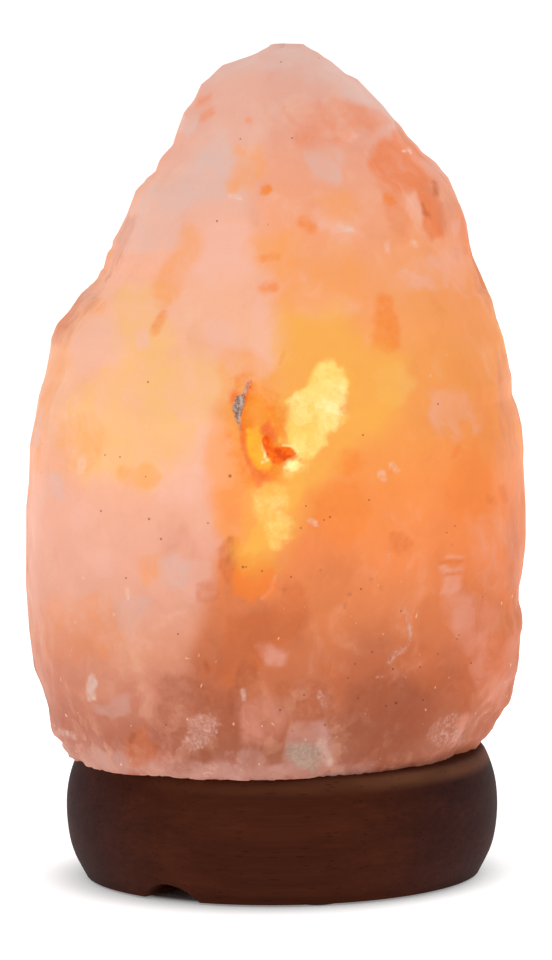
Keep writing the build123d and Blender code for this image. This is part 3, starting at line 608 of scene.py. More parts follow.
# Patches in the salt on the front: kind, softness of the edge in mm, strength, and either a closed outline
# (px, py) or a chain of round strokes (px, py, radius), both in the photograph's frame.
PATCHES = (
    # yellowish salt: painted glow of the bulb through clearer salt
    ("apricot", 2.6, 0.36, (186, 236), (198, 230), (200, 250), (188, 268), (172, 290), (158, 300), (154, 284), (172, 262)),
    ("honey", 5.5, 0.50, (70, 420), (95, 395), (125, 375), (160, 368), (200, 370), (216, 385), (212, 410), (195, 425),
     (190, 455), (172, 470), (140, 478), (118, 470), (90, 478), (72, 462)),
    ("honey", 2.0, 0.45, (152, 332), (165, 330), (173, 345), (160, 357), (149, 350)),
    ("honey", 1.6, 0.40, (100, 368), (118, 365), (123, 376), (106, 383)),
    ("honey", 4.0, 0.45, (118, 300), (150, 296), (170, 330), (165, 360), (130, 372), (112, 340)),
    ("honey", 2.5, 0.40, (205, 370), (222, 362), (232, 380), (222, 396), (206, 392)),
    ("apricot", 4.0, 0.30, (58, 606), (108, 600), (122, 630), (100, 652), (62, 646)),
    ("honey", 2.0, 0.35, (380, 372), (400, 368), (412, 385), (398, 400), (382, 395)),
    # apricot
    ("apricot", 2.5, 0.40, (236, 150), (255, 145), (262, 165), (250, 185), (233, 178)),
    ("apricot", 0.8, 0.55, (228, 183), (238, 182), (239, 191), (229, 193)),
    ("apricot", 3.0, 0.60, (250, 242), (275, 235), (292, 225), (302, 238), (300, 262), (285, 276), (262, 262)),
    ("apricot", 4.0, 0.60, (282, 300), (300, 275), (318, 262), (335, 270), (350, 258), (362, 276), (356, 300), (325, 306)),
    ("apricot", 2.5, 0.35, (322, 200), (345, 196), (360, 206), (345, 216), (326, 212)),
    ("apricot", 1.5, 0.45, (122, 472), (150, 467), (163, 476), (150, 485), (128, 484)),
    ("apricot", 1.8, 0.40, (80, 300), (96, 300), (62, 350), (46, 420), (40, 470), (27, 470), (38, 400), (50, 340)),
    ("apricot", 3.0, 0.45, (228, 352), (262, 360), (275, 395), (262, 398), (244, 396), (226, 392), (222, 370)),
    ("apricot", 2.5, 0.50, (222, 400), (236, 432), (246, 470), (250, 500), (238, 540), (222, 530), (212, 480), (214, 430)),
    ("apricot", 3.0, 0.35, (66, 425), (92, 418), (100, 445), (85, 468), (66, 460)),
    ("apricot", 2.0, 0.45, (140, 560), (155, 556), (160, 572), (146, 582)),
    ("apricot", 3.0, 0.25, (462, 272), (480, 300), (492, 340), (478, 350), (458, 310)),
    ("rose", 2.4, 0.40, (440, 258), (456, 250), (466, 268), (462, 286), (446, 280)),
    # pink
    ("rose", 3.0, 0.55, (215, 230), (240, 226), (252, 245), (246, 275), (222, 286), (205, 280), (200, 265), (206, 245)),
    ("rose", 3.0, 0.55, (75, 326), (110, 318), (121, 345), (115, 362), (85, 368), (62, 346)),
    ("rose", 1.0, 0.60, (136, 334), (147, 330), (149, 344), (138, 348)),
    ("rose", 2.0, 0.50, (210, 318), (228, 322), (237, 345), (232, 365), (220, 350), (205, 332)),
    ("rose", 4.0, 0.45, (195, 456), (220, 420), (227, 445), (215, 480), (195, 497), (165, 494), (170, 478)),
    ("rose", 6.0, 0.45, (32, 500), (75, 505), (95, 540), (110, 590), (80, 600), (35, 590), (28, 540)),
    ("rose", 1.0, 0.50, (410, 196), (418, 196), (423, 206), (421, 223), (414, 222), (408, 206)),
    ("rose", 0.8, 0.65, (453, 222), (459, 221), (461, 230), (456, 234), (452, 229)),
    ("rose", 0.9, 0.60, (340, 133), (350, 131), (358, 136), (350, 140), (341, 139)),
    ("rose", 3.4, 0.22, (440, 398), (464, 404), (470, 425), (455, 433), (436, 420)),
    ("rose", 2.5, 0.35, (300, 292), (330, 298), (352, 310), (330, 318), (300, 308)),
    ("rose", 2.2, 0.40, (318, 214), (345, 222), (356, 232), (340, 238), (322, 228)),
    ("rose", 1.2, 0.50, (445, 579), (461, 576), (462, 588), (452, 596), (443, 593)),
    ("rose", 3.0, 0.40, (455, 602), (474, 600), (490, 615), (485, 640), (466, 645), (455, 630)),
    ("rose", 1.4, 0.65, (261, 645), (275, 648), (285, 655), (281, 664), (266, 661)),
    ("rose", 0.5, 0.70, (262, 598, 1.2), (271, 590, 1.6), (275, 575, 1.2)),
    ("mauve", 1.0, 0.50, (92, 701), (104, 706), (118, 696), (130, 698), (127, 710), (112, 716), (98, 709)),
    ("rose", 1.2, 0.55, (149, 757), (168, 752), (178, 764), (160, 772), (148, 767)),
    ("rose", 2.6, 0.20, (470, 520), (500, 525), (508, 560), (494, 590), (476, 560)),
    ("rose", 1.8, 0.35, (176, 560), (206, 566), (214, 590), (190, 600), (172, 586)),
    ("rose", 1.5, 0.40, (262, 300), (274, 318), (272, 350), (262, 372), (255, 350), (256, 318)),
    ("rose", 2.4, 0.28, (392, 284), (412, 262), (440, 262), (448, 278), (425, 284)),
    ("rose", 2.6, 0.35, (240, 708), (262, 700), (280, 715), (270, 742), (246, 738)),
    ("rose", 2.0, 0.35, (470, 664), (488, 640), (510, 640), (512, 668), (498, 706), (482, 700)),
    # cool, milky, greyish pink
    ("mauve", 2.6, 0.75, (232, 62), (262, 50), (285, 43), (318, 50), (345, 70), (372, 95), (392, 116), (400, 132),
     (385, 130), (366, 112), (346, 104), (330, 84), (300, 66), (270, 64), (240, 70)),
    ("mauve", 3.0, 0.60, (226, 130), (232, 150), (228, 175), (218, 195), (200, 200), (175, 212), (160, 202), (150, 190),
     (170, 180), (190, 165), (198, 148), (212, 132)),
    ("mauve", 1.2, 0.60, (181, 118), (196, 115), (196, 128), (188, 134), (180, 130)),
    ("mauve", 4.0, 0.35, (118, 222), (150, 205), (175, 206), (170, 235), (140, 250), (118, 240)),
    ("mauve", 2.0, 0.55, (45, 475), (60, 478), (62, 498), (48, 500)),
    ("mauve", 1.6, 0.34, (116, 598), (124, 604), (134, 600), (146, 600), (141, 622), (132, 634), (122, 632), (116, 616)),
    ("mauve", 1.6, 0.34, (158, 560), (176, 556), (188, 566), (180, 590), (164, 590)),
    ("mauve", 1.6, 0.45, (216, 64), (236, 60), (230, 72), (214, 82), (206, 80)),
    ("mauve", 2.4, 0.40, (86, 276), (98, 276), (84, 300), (70, 318), (66, 306)),
    ("mauve", 2.2, 0.35, (308, 150), (326, 146), (338, 158), (336, 176), (318, 176)),
    ("mauve", 1.4, 0.60, (80, 748), (96, 752), (140, 762), (200, 766), (280, 770), (340, 766), (380, 758), (378, 773),
     (330, 779), (280, 783), (200, 781), (120, 775), (84, 768)),
    ("mauve", 1.4, 0.40, (240, 752), (258, 750), (266, 766), (250, 774), (238, 768)),
    ("mauve", 1.6, 0.36, (300, 726), (322, 724), (334, 742), (326, 772), (286, 772), (290, 745)),
    ("mauve", 1.0, 0.40, (190, 722), (200, 712), (212, 718), (216, 734), (206, 750), (192, 744)),
    # brick
    # the first two lie in the chip under the right shoulder, where the darker orange is painted shade as well as the
    # salt's tint
    ("brick", 1.4, 0.80, (374, 150), (382, 143), (398, 134), (412, 150), (426, 170), (433, 190), (418, 193), (400, 187),
     (384, 180), (374, 168)),
    ("brick", 1.0, 0.80, (417, 192), (430, 186), (439, 196), (447, 215), (445, 236), (433, 241), (422, 232), (424, 216),
     (422, 204)),
    ("brick", 2.0, 0.45, (330, 101), (350, 108), (375, 112), (386, 122), (372, 129), (350, 124), (335, 112)),
    ("brick", 3.0, 0.30, (290, 110), (330, 108), (345, 130), (320, 145), (300, 140)),
    ("brick", 1.5, 0.35, (200, 100), (210, 96), (214, 112), (204, 116)),
    ("brick", 2.0, 0.35, (382, 180), (394, 186), (410, 240), (402, 244), (388, 214)),
    # greyer, shaded salt near the edges
    ("taupe", 2.4, 0.26, (428, 168), (446, 178), (460, 200), (470, 228), (474, 250), (462, 252), (452, 228), (440, 202)),
    ("taupe", 2.0, 0.45, (500, 352), (517, 410), (527, 480), (528, 545), (521, 592), (510, 592), (514, 540), (511, 480),
     (502, 420)),
    ("taupe", 1.6, 0.50, (92, 284), (104, 284), (84, 312), (60, 340), (50, 346), (52, 326)),
    ("taupe", 1.2, 0.45, (474, 250), (484, 268), (500, 312), (496, 322), (480, 290)),
    ("taupe", 1.6, 0.40, (126, 222), (136, 216), (116, 264), (102, 282), (98, 272)),
    # saturated orange
    ("amber", 0.55, 0.92, (261, 186), (268, 185), (271, 191), (267, 196), (261, 194)),
    ("amber", 1.1, 0.62, (304, 222, 5), (311, 229, 4)),
    ("amber", 0.5, 0.60, (307, 220, 1.6), (309, 222, 1.2)),
    ("amber", 1.2, 0.60, (266, 288, 5.5), (274, 286, 4)),
    ("amber", 0.7, 0.50, (249, 120, 2.6)),
    ("amber", 1.0, 0.50, (388, 196, 3), (392, 201, 2.4)),
    ("amber", 0.8, 0.40, (276, 256, 3), (263, 259, 2)),
    ("amber", 1.4, 0.62, (378, 300), (388, 295), (396, 318), (399, 346), (390, 354), (373, 350), (375, 325)),
    ("amber", 0.8, 0.50, (388, 316, 3), (394, 342, 2.4)),
    ("amber", 0.9, 0.45, (164, 313, 3), (155, 331, 4)),
    ("amber", 0.5, 0.60, (284, 352, 1.6), (280, 364, 1.2)),
    ("amber", 1.8, 0.55, (345, 450), (358, 452), (363, 466), (350, 473), (340, 464)),
    ("amber", 3.2, 0.38, (320, 495), (355, 490), (364, 510), (345, 542), (320, 522)),
    ("amber", 3.4, 0.42, (474, 452), (490, 470), (500, 500), (490, 520), (460, 520), (450, 490)),
    ("amber", 1.0, 0.78, (236, 557), (258, 556), (272, 564), (275, 580), (268, 592), (254, 600), (237, 597), (232, 578)),
    ("amber", 0.6, 0.60, (236, 540, 1.6), (240, 552, 2.4)),
    ("amber", 0.7, 0.60, (257, 446, 1.4), (258, 452, 1.0)),
    ("amber", 0.6, 0.60, (458, 447, 2.2), (454, 456, 1.6)),
    ("rust", 2.4, 0.42, (276, 600), (286, 584), (304, 584), (306, 606), (296, 630), (278, 640), (268, 626)),
    ("rust", 2.2, 0.45, (492, 640), (504, 636), (510, 650), (502, 672), (490, 664)),
    # rusty, denser salt
    ("rust", 1.0, 0.55, (217, 548), (229, 536), (238, 545), (236, 560), (240, 578), (227, 584), (218, 570)),
    ("rust", 1.8, 0.52, (232, 618), (262, 614), (285, 612), (300, 608), (306, 622), (296, 640), (276, 646), (262, 652),
     (252, 668), (247, 684), (234, 688), (222, 681), (213, 672), (222, 655)),
    ("rust", 0.8, 0.55, (203, 660), (210, 663), (213, 672), (204, 673)),
    ("rust", 0.7, 0.70, (487, 494), (494, 497), (495, 505), (488, 503)),
    ("rust", 0.7, 0.55, (502, 487, 2.4), (505, 500, 2.6)),
    ("rust", 1.2, 0.40, (391, 532), (402, 534), (409, 545), (398, 553), (390, 545)),
    ("rust", 1.0, 0.48, (126, 735), (134, 727), (147, 729), (150, 738), (158, 746), (156, 758), (144, 766), (128, 772),
     (124, 756)),
    ("rust", 1.0, 0.35, (199, 586), (211, 580), (217, 594), (208, 602), (198, 598)),
    ("rust", 3.0, 0.40, (330, 668), (372, 660), (395, 690), (372, 712), (338, 702)),
    ("rust", 1.6, 0.45, (70, 306), (80, 300), (66, 326), (56, 334)),
    ("rust", 2.4, 0.40, (404, 640), (430, 645), (440, 680), (418, 690), (402, 668)),
    # brown
    ("brown", 0.7, 0.40, (230, 539, 1.6), (232, 550, 1.8), (227, 564, 1.2)),
    ("brown", 1.4, 0.34, (246, 656), (253, 672), (246, 690), (236, 692), (240, 672)),
    ("brown", 1.8, 0.36, (162, 692), (170, 680), (186, 682), (200, 690), (215, 688), (235, 700), (232, 730), (216, 742),
     (215, 712), (190, 708), (176, 735), (158, 740), (157, 716)),
    ("brown", 1.6, 0.30, (158, 745), (172, 738), (182, 752), (196, 766), (176, 772), (160, 764)),
    ("brown", 0.5, 0.50, (284, 590, 1.2)), ("brown", 0.6, 0.45, (381, 588, 1.4)), ("brown", 0.6, 0.45, (349, 594, 1.6)),
    ("brown", 0.5, 0.50, (321, 571, 1.2)), ("brown", 0.6, 0.40, (345, 606, 1.4)), ("brown", 0.5, 0.45, (295, 520, 1.2)),
    ("brown", 0.6, 0.35, (372, 580, 1.6)), ("brown", 0.5, 0.40, (452, 545, 1.2)), ("brown", 0.6, 0.50, (396, 706, 1.8)),
    ("brown", 0.6, 0.45, (205, 662, 1.4), (208, 670, 1.6)),
    ("brown", 1.2, 0.45, (228, 690), (238, 688), (240, 706), (232, 722), (226, 712)),
    ("brown", 0.9, 0.60, (232, 700), (237, 712), (228, 719), (226, 704)),
    ("brown", 0.6, 0.65, (133, 734, 2), (131, 742, 1.6)),
    ("brown", 4.4, 0.60, (350, 690), (400, 680), (432, 690), (426, 720), (402, 745), (385, 770), (362, 765), (350, 730)),
    ("brown", 2.0, 0.45, (392, 690), (415, 695), (410, 720), (395, 722)),
    ("brown", 0.8, 0.65, (203, 750), (211, 749), (216, 764), (204, 766)),
    ("brown", 0.8, 0.75, (434, 182, 1.0), (437, 194, 1.8)),
    ("brown", 0.8, 0.70, (423, 204, 0.8), (425, 213, 1.8), (430, 216, 1.0)),
    ("brick", 1.4, 0.55, (392, 132), (400, 128), (415, 145), (428, 158), (420, 168), (404, 150)),
    ("brown", 1.6, 0.34, (350, 752), (372, 750), (378, 764), (362, 773), (348, 770)),
    ("brown", 2.4, 0.20, (282, 690), (316, 686), (330, 706), (304, 722), (282, 712)),
    ("brown", 1.6, 0.34, (394, 748), (412, 745), (420, 760), (402, 768), (392, 762)),
    # golden zone round the windows, painted glow of the bulb
    ("gold", 5.0, 0.62, (285, 312), (310, 320), (335, 314), (350, 330), (375, 352), (400, 362), (405, 385), (390, 410),
     (375, 430), (352, 442), (330, 470), (306, 492), (292, 540), (270, 560), (250, 566), (237, 552), (248, 500),
     (262, 480), (300, 460), (288, 440), (281, 400), (283, 350)),
    ("gold", 3.0, 0.55, (335, 328), (362, 335), (374, 380), (366, 425), (345, 425), (352, 380)),
    ("gold", 2.0, 0.70, (340, 360), (356, 366), (362, 392), (352, 424), (338, 440), (328, 452), (306, 462), (300, 452),
     (335, 430), (345, 395)),
    ("gold", 1.4, 0.92, (258, 484), (277, 472), (304, 471), (309, 486), (297, 508), (290, 522), (290, 538), (278, 548),
     (262, 553), (245, 560), (240, 556), (243, 544), (252, 526), (257, 512)),
    # bright yellow windows over the bulb, painted glow
    ("sunny", 1.0, 0.92, (322, 368), (331, 364), (344, 368), (351, 380), (347, 391), (341, 403), (342, 421), (330, 436),
     (323, 446), (312, 454), (299, 456), (292, 451), (286, 445), (286, 427), (291, 416), (289, 403), (298, 389),
     (303, 392), (313, 383), (320, 373)),
    ("sunny", 2.4, 0.36, (257, 490), (270, 484), (282, 488), (281, 508), (272, 518), (258, 516)),
    ("sunny", 2.0, 0.34, (268, 526), (280, 517), (289, 522), (286, 540), (274, 546)),
    ("sunny", 1.4, 0.55, (294, 457), (304, 460), (303, 471), (290, 476), (284, 474)),
    # inside of the pit; its lit, ember and hot marks are painted glow of the bulb in the crack
    ("pit", 0.8, 0.92, (245, 392), (256, 390), (268, 400), (280, 420), (287, 440), (291, 452), (284, 469), (268, 481),
     (256, 480), (250, 468), (243, 446), (240, 425), (243, 408)),
    ("pit", 2.4, 0.45, (236, 380), (252, 376), (270, 392), (292, 440), (292, 470), (262, 492), (244, 482), (234, 440)),
    ("lit", 0.8, 0.85, (249, 428), (257, 424), (262, 438), (268, 442), (269, 456), (272, 466), (262, 473), (252, 467),
     (246, 452), (246, 440)),
    ("flush", 0.9, 0.80, (261, 427), (268, 422), (277, 430), (277, 443), (268, 440)),
    ("flush", 1.0, 0.55, (252, 472), (266, 470), (268, 480), (256, 486)),
    ("flush", 0.7, 0.60, (241, 428, 1.2), (243, 446, 1.4), (249, 464, 1.6), (256, 478, 2.0)),
    ("flush", 0.8, 0.45, (236, 392, 2.0), (232, 402, 1.4)),
    ("ember", 0.45, 0.99, (264, 441), (272, 434), (277, 446), (284, 449), (293, 449), (297, 456), (291, 462),
     (282, 466), (272, 464), (268, 452)),
    ("ember", 0.60, 0.55, (251, 382, 1.5), (246, 396, 1.6)),
    ("hot", 0.50, 0.90, (283, 468), (288, 462), (296, 458), (301, 463), (298, 470), (291, 473)),
    ("hot", 0.50, 0.70, (284, 446, 1.4), (294, 447, 1.6), (299, 455, 1.8)),
    ("hot", 0.35, 0.75, (263, 444, 1.1), (266, 451, 1.5), (265, 458, 1.2)),
    ("hot", 0.35, 0.55, (262, 463, 1.2), (269, 459, 0.9)),
    ("crust", 0.35, 0.95, (233, 401), (241, 392), (247, 394), (244, 410), (241, 426), (238, 431), (234, 416), (231, 408)),
    ("crust", 0.50, 0.55, (249, 381, 1.8), (245, 392, 2.0)),
    # milky white
    ("pale", 0.5, 0.80, (88, 679), (94, 672), (98, 682), (95, 698), (88, 700), (86, 689)),
    ("pale", 0.45, 0.75, (243, 690, 1.9), (244, 698, 2.1)),
    ("pale", 0.35, 0.75, (403, 151, 0.8), (409, 149, 1.1), (411, 153, 0.8)),
    ("rose", 0.7, 0.55, (446, 556, 1.0), (457, 557, 1.6), (466, 558, 0.8)),
    ("rust", 0.7, 0.42, (440, 563, 1.4), (452, 562, 1.6), (462, 562, 1.0)),
    ("rose", 0.7, 0.55, (442, 568, 1.4), (452, 569, 1.8), (464, 568, 1.0)),
    ("rust", 0.6, 0.36, (447, 574, 0.9), (460, 573, 1.1)),
    ("sugar", 0.5, 0.45, (413, 607, 1.8), (418, 611, 1.2)),
    ("sugar", 0.4, 0.40, (432, 590, 0.9), (436, 592, 0.8)),
    ("pale", 0.5, 0.60, (230, 196, 1.4), (241, 198, 1.4)),
    ("pale", 0.4, 0.70, (127, 589, 0.8), (128, 599, 0.8)),
    ("pale", 0.6, 0.45, (412, 243, 2.6), (416, 246, 2.0)),
    ("rose", 0.6, 0.55, (387, 242, 1.4), (388, 250, 1.8)),
    ("pale", 0.6, 0.35, (340, 226, 2), (352, 230, 2)),
    ("pale", 0.8, 0.35, (381, 474, 3), (383, 478, 2)),
    ("pale", 0.7, 0.35, (392, 466, 2.4), (396, 470, 2)),
    ("pale", 0.7, 0.45, (310, 520, 1.8), (316, 524, 1.6)),
    ("pale", 0.7, 0.40, (82, 458, 3), (81, 470, 3)),
    ("sugar", 0.4, 0.40, (388, 553, 0.9), (389, 566, 1.1)),
    ("pale", 1.0, 0.45, (322, 744, 3), (329, 762, 3)),
    ("pale", 0.8, 0.40, (60, 732, 2), (74, 736, 1.6)),
    # crusts of small crystals
    ("sugar", 1.2, 0.60, (182, 742), (188, 726), (200, 712), (212, 714), (220, 728), (214, 744), (202, 752), (188, 752)),
    ("sugar", 0.9, 0.70, (203, 767), (216, 766), (222, 774), (206, 778)),
    ("sugar", 1.2, 0.46, (430, 733), (446, 716), (462, 717), (458, 728), (462, 742), (444, 746), (432, 742)),
    ("sugar", 0.45, 0.80, (401, 605, 1.0), (407, 615, 1.6), (409, 628, 1.2), (411, 640, 1.0)),
    ("sugar", 0.45, 0.80, (411, 640, 1.0), (405, 650, 1.4), (395, 653, 2.0), (389, 662, 2.2)),
    ("sugar", 0.5, 0.55, (376, 676, 0.9), (385, 676, 0.9)),
    ("sugar", 0.8, 0.50, (318, 692, 1.6), (324, 704, 2.0)),
    ("sugar", 1.0, 0.45, (60, 742, 2), (76, 754, 3)),
    ("sugar", 1.2, 0.40, (232, 758, 4), (240, 766, 4)),
    ("ash", 1.3, 0.70, (290, 746), (308, 740), (322, 748), (325, 762), (314, 771), (298, 768), (288, 758)),
    ("ash", 0.6, 0.50, (455, 728, 1.8), (458, 734, 1.4)),
)
# single dark grains: px, py, radius
GRAINS = (
    (217, 221, 1.3), (281, 62, 1.2), (292, 138, 1.1), (319, 58, 1.0), (148, 382, 1.3), (230, 476, 1.9), (101, 511, 1.3),
    (149, 519, 1.5), (161, 539, 1.4), (105, 455, 1.1), (120, 457, 1.2), (126, 578, 1.3), (243, 567, 1.5), (246, 567, 1.0),
    (262, 571, 1.1), (178, 634, 1.1), (438, 404, 1.2), (363, 435, 1.2), (459, 635, 0.9), (457, 639, 0.9), (304, 695, 1.1),
    (280, 710, 1.2), (396, 703, 1.7), (386, 706, 1.2), (420, 667, 1.2), (471, 663, 1.1), (438, 654, 1.0), (372, 652, 1.2),
    (355, 664, 1.1), (348, 678, 1.1), (391, 658, 1.2), (393, 669, 1.3), (401, 611, 1.2), (361, 589, 1.2), (291, 577, 1.2),
    (358, 698, 1.2), (423, 700, 1.3), (325, 725, 1.2), (166, 725, 1.0), (208, 523, 1.0), (330, 517, 1.3), (324, 520, 1.0),
    (306, 506, 1.0), (301, 528, 1.0), (369, 500, 1.1), (41, 472, 1.1), (30, 482, 1.2), (455, 526, 1.0),
)
TT = np.linspace(0, 1, 401)


def weakest(strength):
    """The field value whose soft mask equals a strength."""
    return 1 - 2 * np.interp(strength, 3 * TT ** 2 - 2 * TT ** 3, TT)


def stroke_distance(p, a, ra, b, rb):
    e = b - a
    t = np.clip(((p - a) @ e) / max(float(e @ e), 1e-9), 0, 1)
    return np.linalg.norm(p - (a + t[:, None] * e), axis=1) - (ra + (rb - ra) * t)


def patch_fields(p, normals):
    """For each kind of patch a field that runs from about -1 well inside it to 3 outside it."""
    q = p - EYE
    deep = q @ FWD
    pic = np.stack((276 + FOCAL * (q @ SIDE) / deep, 480 - FOCAL * (q @ UP) / deep), 1)
    facing = -(normals * q).sum(1) / np.linalg.norm(q, axis=1)
    hidden = 3.0 * (1 - smooth(facing, -0.12, 0.10))
    coarse = np.stack([fbm(p, 8.0, 3, 820 + k) for k in range(3)], 1)
    fine = np.stack([fbm(p, 2.6, 3, 830 + k) for k in range(3)], 1)
    fields = {}

    def join(kind, d, soft, strength, extra=0.0):
        v = np.clip(d / soft, weakest(strength), 3.0) + extra
        fields[kind] = np.minimum(fields.get(kind, 3.0), v)

    for kind, soft, strength, *pts in PATCHES:
        xy = np.array([s[:2] for s in pts], float)
        if len(pts[0]) == 2:
            size = math.sqrt(np.prod(np.ptp(xy, axis=0))) * PX
        else:
            size = 2 * max(s[2] for s in pts) * PX
        at = pic + (coarse[:, :2] * min(2.4, 0.16 * size) + fine[:, :2] * min(0.9, 0.22 * size)) / PX
        if len(pts[0]) == 2:
            d = -depth_inside(at[:, 0], at[:, 1], [tuple(v) for v in xy])
        else:
            d = np.full(len(p), 1e9)
            for a, b in zip(pts, pts[1:] if len(pts) > 1 else pts):
                d = np.minimum(d, stroke_distance(at, np.array(a[:2], float), a[2], np.array(b[:2], float), b[2]))
        join(kind, d * PX, soft, strength, hidden)
    # the same kinds of patches, freely strewn over the sides and the back; the gold and sunny ones, painted glow, keep
    # to the bulb's height
    rng = np.random.default_rng(77)
    outer = np.arange((ROWS - 1) * COLS)
    far = outer[(facing[outer] < 0.12)]
    plan = (("honey", 26, 3.0, 8.0, 16, 60, 175), ("apricot", 36, 1.6, 6.0, 12, 45, 180), ("rose", 40, 1.4, 5.0, 12, 33, 185),
            ("mauve", 22, 1.4, 5.0, 12, 30, 190), ("brick", 12, 1.8, 4.6, 9, 90, 175), ("amber", 9, 1.0, 2.8, 3, 60, 170),
            ("rust", 14, 1.2, 3.6, 6, 32, 90), ("brown", 14, 1.0, 3.4, 8, 30, 58), ("pale", 26, 0.3, 1.1, 4, 32, 170),
            ("sugar", 16, 0.5, 2.2, 7, 30, 70), ("ash", 4, 0.9, 2.0, 4, 31, 50), ("gold", 5, 2.0, 5.0, 16, 80, 118),
            ("sunny", 4, 0.9, 2.2, 10, 84, 114))
    for kind, count, small, big, length, low, high in plan:
        pool = far[(p[far, 2] > low) & (p[far, 2] < high)]
        for _ in range(count):
            a = p[pool[rng.integers(len(pool))]]
            step = rng.normal(size=3) * (0.6, 0.6, 1.0)
            b = a + step / np.linalg.norm(step) * rng.uniform(0.2, 1.0) * length
            b = p[outer[np.argmin(((p[outer] - b) ** 2).sum(1))]]
            r = small + (big - small) * rng.random() ** 1.6
            at = p + coarse * min(3.0, 1.1 * r) + fine * min(1.0, 0.5 * r)
            join(kind, stroke_distance(at, a, r, b, r * rng.uniform(0.4, 1.1)), max(0.4, r * rng.uniform(0.4, 1.1)),
                 rng.uniform(0.35, 0.7))
    return fields


block_normals = np.empty(len(block_pts) * 3, np.float32)
block.data.vertices.foreach_get("normal", block_normals)
for kind, values in patch_fields(block_pts, block_normals.reshape(-1, 3).astype(float)).items():
    set_field(block, kind, np.clip(values, -1.2, 3))
GRAIN_SPOTS = [(place(on_rock(x, y))[0], r * PX * MM) for x, y, r in GRAINS]


def broad_fields(p):
    """How orange rather than pink the salt is, partly its tint and partly painted light on the paler pink-grey left of
    the front, and how near the bulb its surface lies.
    """
    x, y, z = p.T
    n = fbm(p, 26.0, 3, 900)
    edge = np.interp(z, (40.0, 58.0, 70.0, 84.0, 112.0, 124.0, 160.0), (-20.0, -24.0, -22.0, -15.5, -13.5, -3.5, -3.0)) + 8.0 * n
    front = smooth(x - edge, -6.0, 7.0)
    round_back = smooth(fbm(p, 40.0, 3, 910), -0.30, 0.34)
    warm = front + (round_back - front) * smooth(y, -16.0, 14.0)
    d = np.zeros(len(p))
    for zb in (62.0, 74.0, 86.0, 98.0):
        d += np.exp(-(np.sqrt(x ** 2 + y ** 2 + (z - zb) ** 2) - 52.0) / 13.0)
    return np.clip(warm, 0, 1), np.clip(d / 4, 0, 1.5)


warm_field, near_field = broad_fields(block_pts)
set_field(block, "warm", warm_field)
set_field(block, "near", near_field)
set_field(block, "bore", inside_bore)


